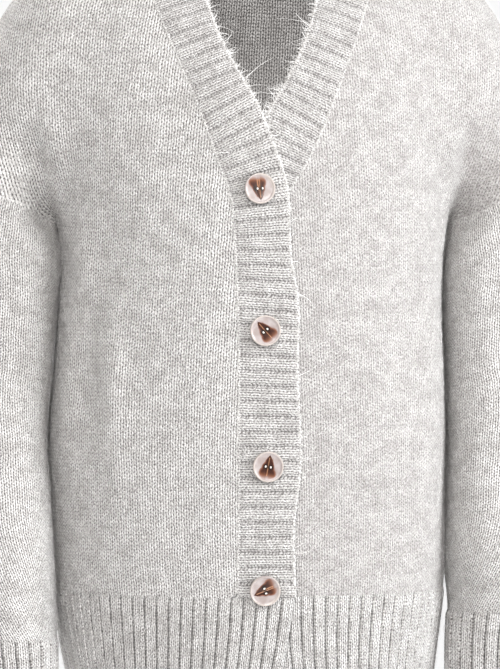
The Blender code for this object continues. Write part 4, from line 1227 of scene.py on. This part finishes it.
# %% Buttons
BUTTON_PROFILE = (
    # radius, height
    (0, 0), (11.5, 0), (12.15, 0.35), (12.5, 1.1), (12.5, 2.6), (12.38, 3.15), (12.05, 3.5),
    (11.6, 3.6), (11.2, 3.5), (10.85, 3.2), (10.3, 2.9), (9.2, 2.75), (0, 2.7),
)
FACE_HEIGHT, BUTTON_SIDES = 2.7, 56
HOLLOW, SLIT = (15.4, 6.4, 0.3), (15.0, 1.1, 0.8)  # length, width, depth
HOLE_SPACING, HOLE_DIAMETER, HOLE_DEPTH = 4.2, 2.0, 2.3
SHARP = math.radians(32)  # a sharper edge than this isn't shaded as a curve
BUTTON_BACK = OVERLAP_LIFT + WALL + RIB_HEIGHT + 0.7  # mm from the inside of the cardigan
LEAN_FROM, LEAN_OVER, UPRIGHT_WITHIN = 8, 12, 0.9  # mm; the stain leans below this height, beside the slit


def turned(profile, steps):
    """A solid of revolution from its profile in mm."""
    bm = bmesh.new()
    points = [bm.verts.new((r * MM, 0, z * MM)) for r, z in profile]
    lines = [bm.edges.new(pair) for pair in zip(points, points[1:])]
    turn = {"cent": (0, 0, 0), "axis": (0, 0, 1), "angle": math.tau, "steps": steps, "use_merge": True}
    bmesh.ops.spin(bm, geom=points + lines, **turn)
    bmesh.ops.remove_doubles(bm, verts=bm.verts, dist=1e-6)
    bmesh.ops.recalc_face_normals(bm, faces=bm.faces)
    return bm


def lens(length, width, depth):
    """A long lens that lies in the button's face."""
    bm = bmesh.new()
    bmesh.ops.create_uvsphere(bm, u_segments=32, v_segments=16, radius=1)
    bmesh.ops.scale(bm, vec=(width / 2 * MM, length / 2 * MM, depth * MM), verts=bm.verts)
    bmesh.ops.translate(bm, vec=(0, 0, FACE_HEIGHT * MM), verts=bm.verts)
    return bm


def thread_hole(sign, up=0.0):
    """The place of one of a button's two holes."""
    return Matrix.Translation((sign * HOLE_SPACING / 2 * MM, 0, (FACE_HEIGHT + up) * MM))


def button_blank():
    disc = placed_mesh("button_blank", turned(BUTTON_PROFILE, BUTTON_SIDES))
    holes = bmesh.new()
    radius = HOLE_DIAMETER / 2 * MM
    tube = {"cap_ends": True, "segments": 16, "radius1": radius, "radius2": radius}
    for sign in (-1, 1):
        bmesh.ops.create_cone(holes, matrix=thread_hole(sign), depth=2 * HOLE_DEPTH * MM, **tube)
    shapes = {"hollow": lens(*HOLLOW), "slit": lens(*SLIT), "holes": holes}
    cutters = [placed_mesh(name, bm) for name, bm in shapes.items()]
    for cutter in cutters:
        cut = disc.modifiers.new(cutter.name, "BOOLEAN")
        cut.operation = "DIFFERENCE"
        cut.object = cutter
    bpy.context.view_layer.update()
    mesh = bpy.data.meshes.new_from_object(disc.evaluated_get(bpy.context.evaluated_depsgraph_get()))
    for used in [disc, *cutters]:
        bpy.data.objects.remove(used)
    return mesh


def button_place(x, z, turn):
    """The frame that stands on the back of a button."""
    point = settle_front(np.array([[x, -130.0, z]]), outside_body)[0]
    way = Vector(unit(slope_of(outside_body, point[None]))[0])
    up = (Vector((0, 0, 1)) - way.z * way).normalized()
    axes = Matrix((up.cross(way), up, way)).transposed().to_4x4()
    standing = Matrix.Translation(Vector(point) * MM) @ axes @ Matrix.Rotation(math.radians(turn), 4, "Z")
    return standing @ Matrix.Translation((0, 0, BUTTON_BACK * MM))


blank = button_blank()
for number, (x, z, turn, lean) in enumerate(BUTTONS, start=1):
    bm = bmesh.new()
    bm.from_mesh(blank)
    layer = bm.loops.layers.uv.new("face")
    for corner in (loop for face in bm.faces for loop in face.loops):
        across, upwards, _ = corner.vert.co / MM
        leaning = lean * min(max((LEAN_FROM - upwards) / LEAN_OVER, 0), 1)
        corner[layer].uv = (across - leaning if abs(across) > UPRIGHT_WITHIN else across, upwards)
    bmesh.ops.transform(bm, matrix=button_place(x, z, turn), verts=bm.verts)
    button = mesh_object(f"button_{number}_horn", bm, horn)
    button.data.set_sharp_from_angle(angle=SHARP)
    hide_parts(f"button_{number}")
print(len(BUTTONS), "buttons of", len(blank.polygons), "faces")

# %% [markdown]
# ## The thread
# Each button hangs on a shank of wound thread that passes through the buttonhole, and the thread shows as two
# small pale loops in the holes. The shank is a turned profile with a wave for every wind. A curve wound round
# the shank would be truer, and nobody would see it behind the button.

# %% Thread
PALE_THREAD, DARK_THREAD = (0.93, 0.90, 0.86, 1), (0.62, 0.56, 0.52, 1)
SHANK_RADIUS, SHANK_WINDS, POINTS_IN_WIND, WIND_DEPTH = 1.45, 9, 6, 0.2
SHANK_OFF_BAND, SHANK_IN_BUTTON = 0.3, 0.3
LOOP_SIZE, LOOP_SUNK = (0.7, 0.95, 0.6), 0.35  # half of its width, length and height in mm
cotton = Finish("pale_thread", 0.6)
wave = {"Vector": cotton.object_place(), "Scale": 900.0, "Distortion": 2.0}
twist = cotton.number("TexWave", wave, {"bands_direction": "DIAGONAL"}, output=1)
cotton_look = cotton.wear(cotton.mix(twist * 0.5, PALE_THREAD, DARK_THREAD), cotton.bump(twist, 0.0001, 0.6))
shank_length = BUTTON_BACK - (WALL + RIB_HEIGHT + SHANK_OFF_BAND)
heights = np.linspace(-shank_length, SHANK_IN_BUTTON, SHANK_WINDS * POINTS_IN_WIND + 1)
radii = SHANK_RADIUS - WIND_DEPTH * np.abs(np.sin(np.linspace(0, SHANK_WINDS * math.pi, len(heights))))
shank_profile = [(0, heights[0]), *zip(radii, heights), (0, heights[-1])]
bm = bmesh.new()
for x, z, turn, _ in BUTTONS:
    place = button_place(x, z, turn)
    shank = turned(shank_profile, 16)
    bmesh.ops.transform(shank, matrix=place, verts=shank.verts)
    bm.from_mesh(mesh_from("shank", shank))
    for sign in (-1, 1):
        hole = thread_hole(sign, -LOOP_SUNK)
        loop = place @ hole @ Matrix.Diagonal((*(size * MM for size in LOOP_SIZE), 1))
        bmesh.ops.create_uvsphere(bm, u_segments=16, v_segments=10, radius=1, matrix=loop)
mesh_object("button_thread", bm, cotton_look)
print("shanks of", round(shank_length, 1), "mm")

# %% [markdown]
# ## Loose fibres
# Brushing pulls single fibres out of the yarn. They lie on the cloth, soften every outline and curl away from
# the edges of the neck. Each is a narrow ribbon of a few faces. All the ribbons of a piece come from one tall
# grid, whose faces between one ribbon and the next are deleted before the points are moved to their places.
# Blender's hair would look much the same, but it doesn't become a mesh by itself.

# %% Ribbons
WHITE_HAIR, GREY_HAIR = (0.93, 0.925, 0.92, 1), (0.70, 0.69, 0.68, 1)
TIP_WIDTH = 0.35  # of the width at the root
FUZZ_POINTS, FUZZ_WIDTH, FUZZ_LIFT = 5, 0.17, 0.05
FUZZ_LENGTH, FUZZ_LEAST = (5, 0.85), 1.2  # shape and scale of a gamma distribution, and what is added in mm
FUZZ_ARCH, FUZZ_TIP = (0.15, 0.7), (1.5, 0.25)  # range in mm; shape and scale
FUZZ_CURL, FUZZ_LEAN = 1.5, 1.2  # radians
fibre = Finish("loose_fibre", 1.0, Specular_IOR_Level=0.15)
fibre_shade = fibre.object_noise(400.0, 2.0).within(0.4, 0.62)
fibre_look = fibre.wear(fibre.mix(fibre_shade, GREY_HAIR, WHITE_HAIR))


def ribbons(name, paths, sides, width):
    """Ribbons along paths: fibres by points by xyz, with the sideways direction of each fibre."""
    count, steps = paths.shape[:2]
    taper = np.interp(np.arange(steps), [0, steps - 1], [1, TIP_WIDTH])
    half = sides[:, None] * (width / 2 * taper)[None, :, None]
    places = np.stack([paths - half, paths + half], axis=2)
    bm = bmesh.new()
    bmesh.ops.create_grid(bm, x_segments=1, y_segments=count * steps - 1, size=1)
    between_them = [face for row, face in enumerate(bm.faces) if row % steps == steps - 1]
    bmesh.ops.delete(bm, geom=between_them, context="FACES")
    made = mesh_object(name, bm, fibre_look)
    made.data.vertices.foreach_set("co", (places * MM).ravel())
    made.data.update()
    print(f"{name}: {count} fibres")


def scattered(names, count, rng):
    """Random places on pieces of cloth, with the way out and one way along the cloth at each."""
    grids = [surfaces[name] for name in names]
    areas = [cell_areas(points) for points, _ in grids]
    total = sum(area.sum() for area in areas)
    found = []
    for (points, ways), area in zip(grids, areas):
        cells = rng.choice(area.size, round(count * area.sum() / total), p=area.ravel() / area.sum())
        row, column = np.divmod(cells, area.shape[1])
        s, t = rng.random((2, len(cells), 1))
        corners = [(1 - s) * (1 - t), (1 - s) * t, s * (1 - t), s * t]
        around = [(row, column), (row, column + 1), (row + 1, column), (row + 1, column + 1)]
        place, way = (sum(c * g[a] for c, a in zip(corners, around)) for g in (points, ways))
        found.append((place, unit(way), unit(points[row, column + 1] - points[row, column])))
    return (np.concatenate(values) for values in zip(*found))


def fuzz(name, names, count, seed):
    """Short fibres that lie all over pieces of cloth and lift a little."""
    rng = np.random.default_rng(seed)
    base, way, first = scattered(names, count, rng)
    second = np.cross(way, first)
    each = (len(base), 1, 1)
    length = rng.gamma(*FUZZ_LENGTH, each) + FUZZ_LEAST
    start, curl = rng.uniform(0, math.tau, each), rng.normal(0, FUZZ_CURL, each)
    t = np.linspace(0, 1, FUZZ_POINTS)[None, :, None]
    angle = start + curl * t
    flat = np.cos(angle) * first[:, None] + np.sin(angle) * second[:, None]
    lift = rng.uniform(*FUZZ_ARCH, each) * np.sin(math.pi * t)
    lift = lift + rng.gamma(*FUZZ_TIP, each) * t
    paths = base[:, None] + FUZZ_LIFT * way[:, None] + length * t * flat + lift * way[:, None]
    lean = rng.uniform(-FUZZ_LEAN, FUZZ_LEAN, each[:2])
    sides = unit(np.cross(way, flat[:, 0]) * np.cos(lean) + way * np.sin(lean))
    ribbons(name, paths, sides, FUZZ_WIDTH)


fuzz("front_fuzz", ["front_right", "front_left"], 21000, seed=11)
fuzz("rib_fuzz", ["band_right", "band_left", "hem_front_right", "hem_front_left"], 11000, seed=12)
fuzz("sleeve_fuzz", ["sleeve_right", "sleeve_left", "cuff_right", "cuff_left"], 19000, seed=13)
fuzz("back_fuzz", ["back", "hem_back"], 20000, seed=14)

# %% [markdown]
# ### Curls along the neck
# The free edge of the band is handled most, so its fibres are the longest. They leave the edge outwards and
# curl more and more towards their tips. Down the closing, where the edge rubs on the cloth, few of them stay.

# %% Curls along the neck
CURL_POINTS, CURL_SHAPE, CURL_LEAST = 9, 2.5, 1.5  # the shape of a gamma distribution, mm added
LEANING, CURLING, STRAYING = 0.7, 2.6, 0.3  # standard deviations
WORN_OFF_BELOW, WORN_OFF_OVER, LEFT_AFTER_WEAR = -230, 60, 0.12


def curls(name, count, seed, longest, width):
    """Longer fibres that curl away from the free edges of the bands."""
    rng = np.random.default_rng(seed)
    roots = []
    for rows, ways in bands.values():
        shares = rng.random(count)
        root = spaced(rows[-1] + WALL * 0.6 * ways[-1], shares)
        away = unit(spaced(rows[-1], shares, unit(rows[-1] - rows[1])))
        roots.append((root, away, unit(spaced(rows[-1], shares, ways[-1]))))
    base, away, way = (np.concatenate(values) for values in zip(*roots))
    left = np.clip((base[:, 2] - WORN_OFF_BELOW) / WORN_OFF_OVER, LEFT_AFTER_WEAR, 1)
    kept = rng.random(len(base)) < left
    base, away, way = base[kept], away[kept], way[kept]
    each = (len(base), 1, 1)
    edgewise = np.cross(way, away)
    length = rng.gamma(CURL_SHAPE, longest / (2 * CURL_SHAPE), each) + CURL_LEAST
    lean, curl = rng.normal(0, LEANING, each), rng.normal(0, CURLING, each)
    t = np.linspace(0, 1, CURL_POINTS)[None, :, None]
    angle = lean + curl * t**1.5
    heading = np.cos(angle) * away[:, None] + np.sin(angle) * edgewise[:, None]
    heading = heading + rng.normal(0, STRAYING, each) * way[:, None]
    paths = base[:, None] + np.cumsum(heading, axis=1) * length / CURL_POINTS
    sides = unit(edgewise + rng.normal(0, STRAYING, each[:2]) * way)
    ribbons(name, paths, sides, width)


curls("neck_curls", 1300, seed=21, longest=10.0, width=0.36)
curls("neck_wisps", 120, seed=22, longest=27.0, width=0.46)

# %% [markdown]
# ## Floor and light
# A plain pale floor and pale surroundings, as in a bright studio. A soft light of cool white stands high on
# the viewer's right, like a window. A warmer one stands in front, above the camera and just left of it, so
# the cardigan's left half in the picture falls into a warmer grey. A third lights the shoulders from behind.

# %% Stage
FLOOR_Z, FLOOR_HALF_SIZE, FLOOR_COLOUR = -1.38, 2.4, (0.88, 0.88, 0.88, 1)
LIGHT_TARGET = (0, 0, -0.35)
LIGHTS = (
    # name, place, size in m, power in W, colour
    ("window_light", (2.45, -1.4, 0.55), 1.5, 126, (0.98, 0.992, 1.0)),
    ("front_light", (-0.4, -2.85, 1.15), 1.5, 103, (1.0, 0.975, 0.95)),
    ("back_light", (-2.0, 2.2, 0.8), 1.6, 130, (1.0, 0.99, 0.98)),
)
AMBIENT_COLOUR, AMBIENT_STRENGTH = (1.0, 0.985, 0.975, 1), 0.3
BACKDROP_COLOUR = (0.96, 0.96, 0.96, 1)  # what the camera sees behind the cardigan
bm = bmesh.new()
bmesh.ops.create_grid(bm, x_segments=1, y_segments=1, size=FLOOR_HALF_SIZE)
bmesh.ops.translate(bm, verts=bm.verts, vec=(0, 0, FLOOR_Z))
floor = placed_mesh("floor", bm, Finish("pale_floor", 0.9).wear(FLOOR_COLOUR))
for name, place, size, power, colour in LIGHTS:
    light = bpy.data.lights.new(name, "AREA")
    light.size, light.energy, light.color = size, power, colour
    made = placed(name, light)
    made.location = place
    made.rotation_euler = (Vector(LIGHT_TARGET) - Vector(place)).to_track_quat("-Z", "Y").to_euler()
world = bpy.data.worlds.new("pale_surroundings")
world.use_nodes = True
nodes, links = world.node_tree.nodes, world.node_tree.links
ambient, backdrop = nodes["Background"], nodes.new("ShaderNodeBackground")
ambient.inputs["Color"].default_value = AMBIENT_COLOUR
ambient.inputs["Strength"].default_value = AMBIENT_STRENGTH
backdrop.inputs["Color"].default_value = BACKDROP_COLOUR
ray, mixed = nodes.new("ShaderNodeLightPath"), nodes.new("ShaderNodeMixShader")
links.new(ray.outputs["Is Camera Ray"], mixed.inputs[0])
links.new(ambient.outputs[0], mixed.inputs[1])
links.new(backdrop.outputs[0], mixed.inputs[2])
links.new(mixed.outputs[0], nodes["World Output"].inputs[0])
bpy.context.scene.world = world
bpy.context.scene.view_settings.view_transform = "Standard"
print("lights:", [name for name, *_ in LIGHTS])
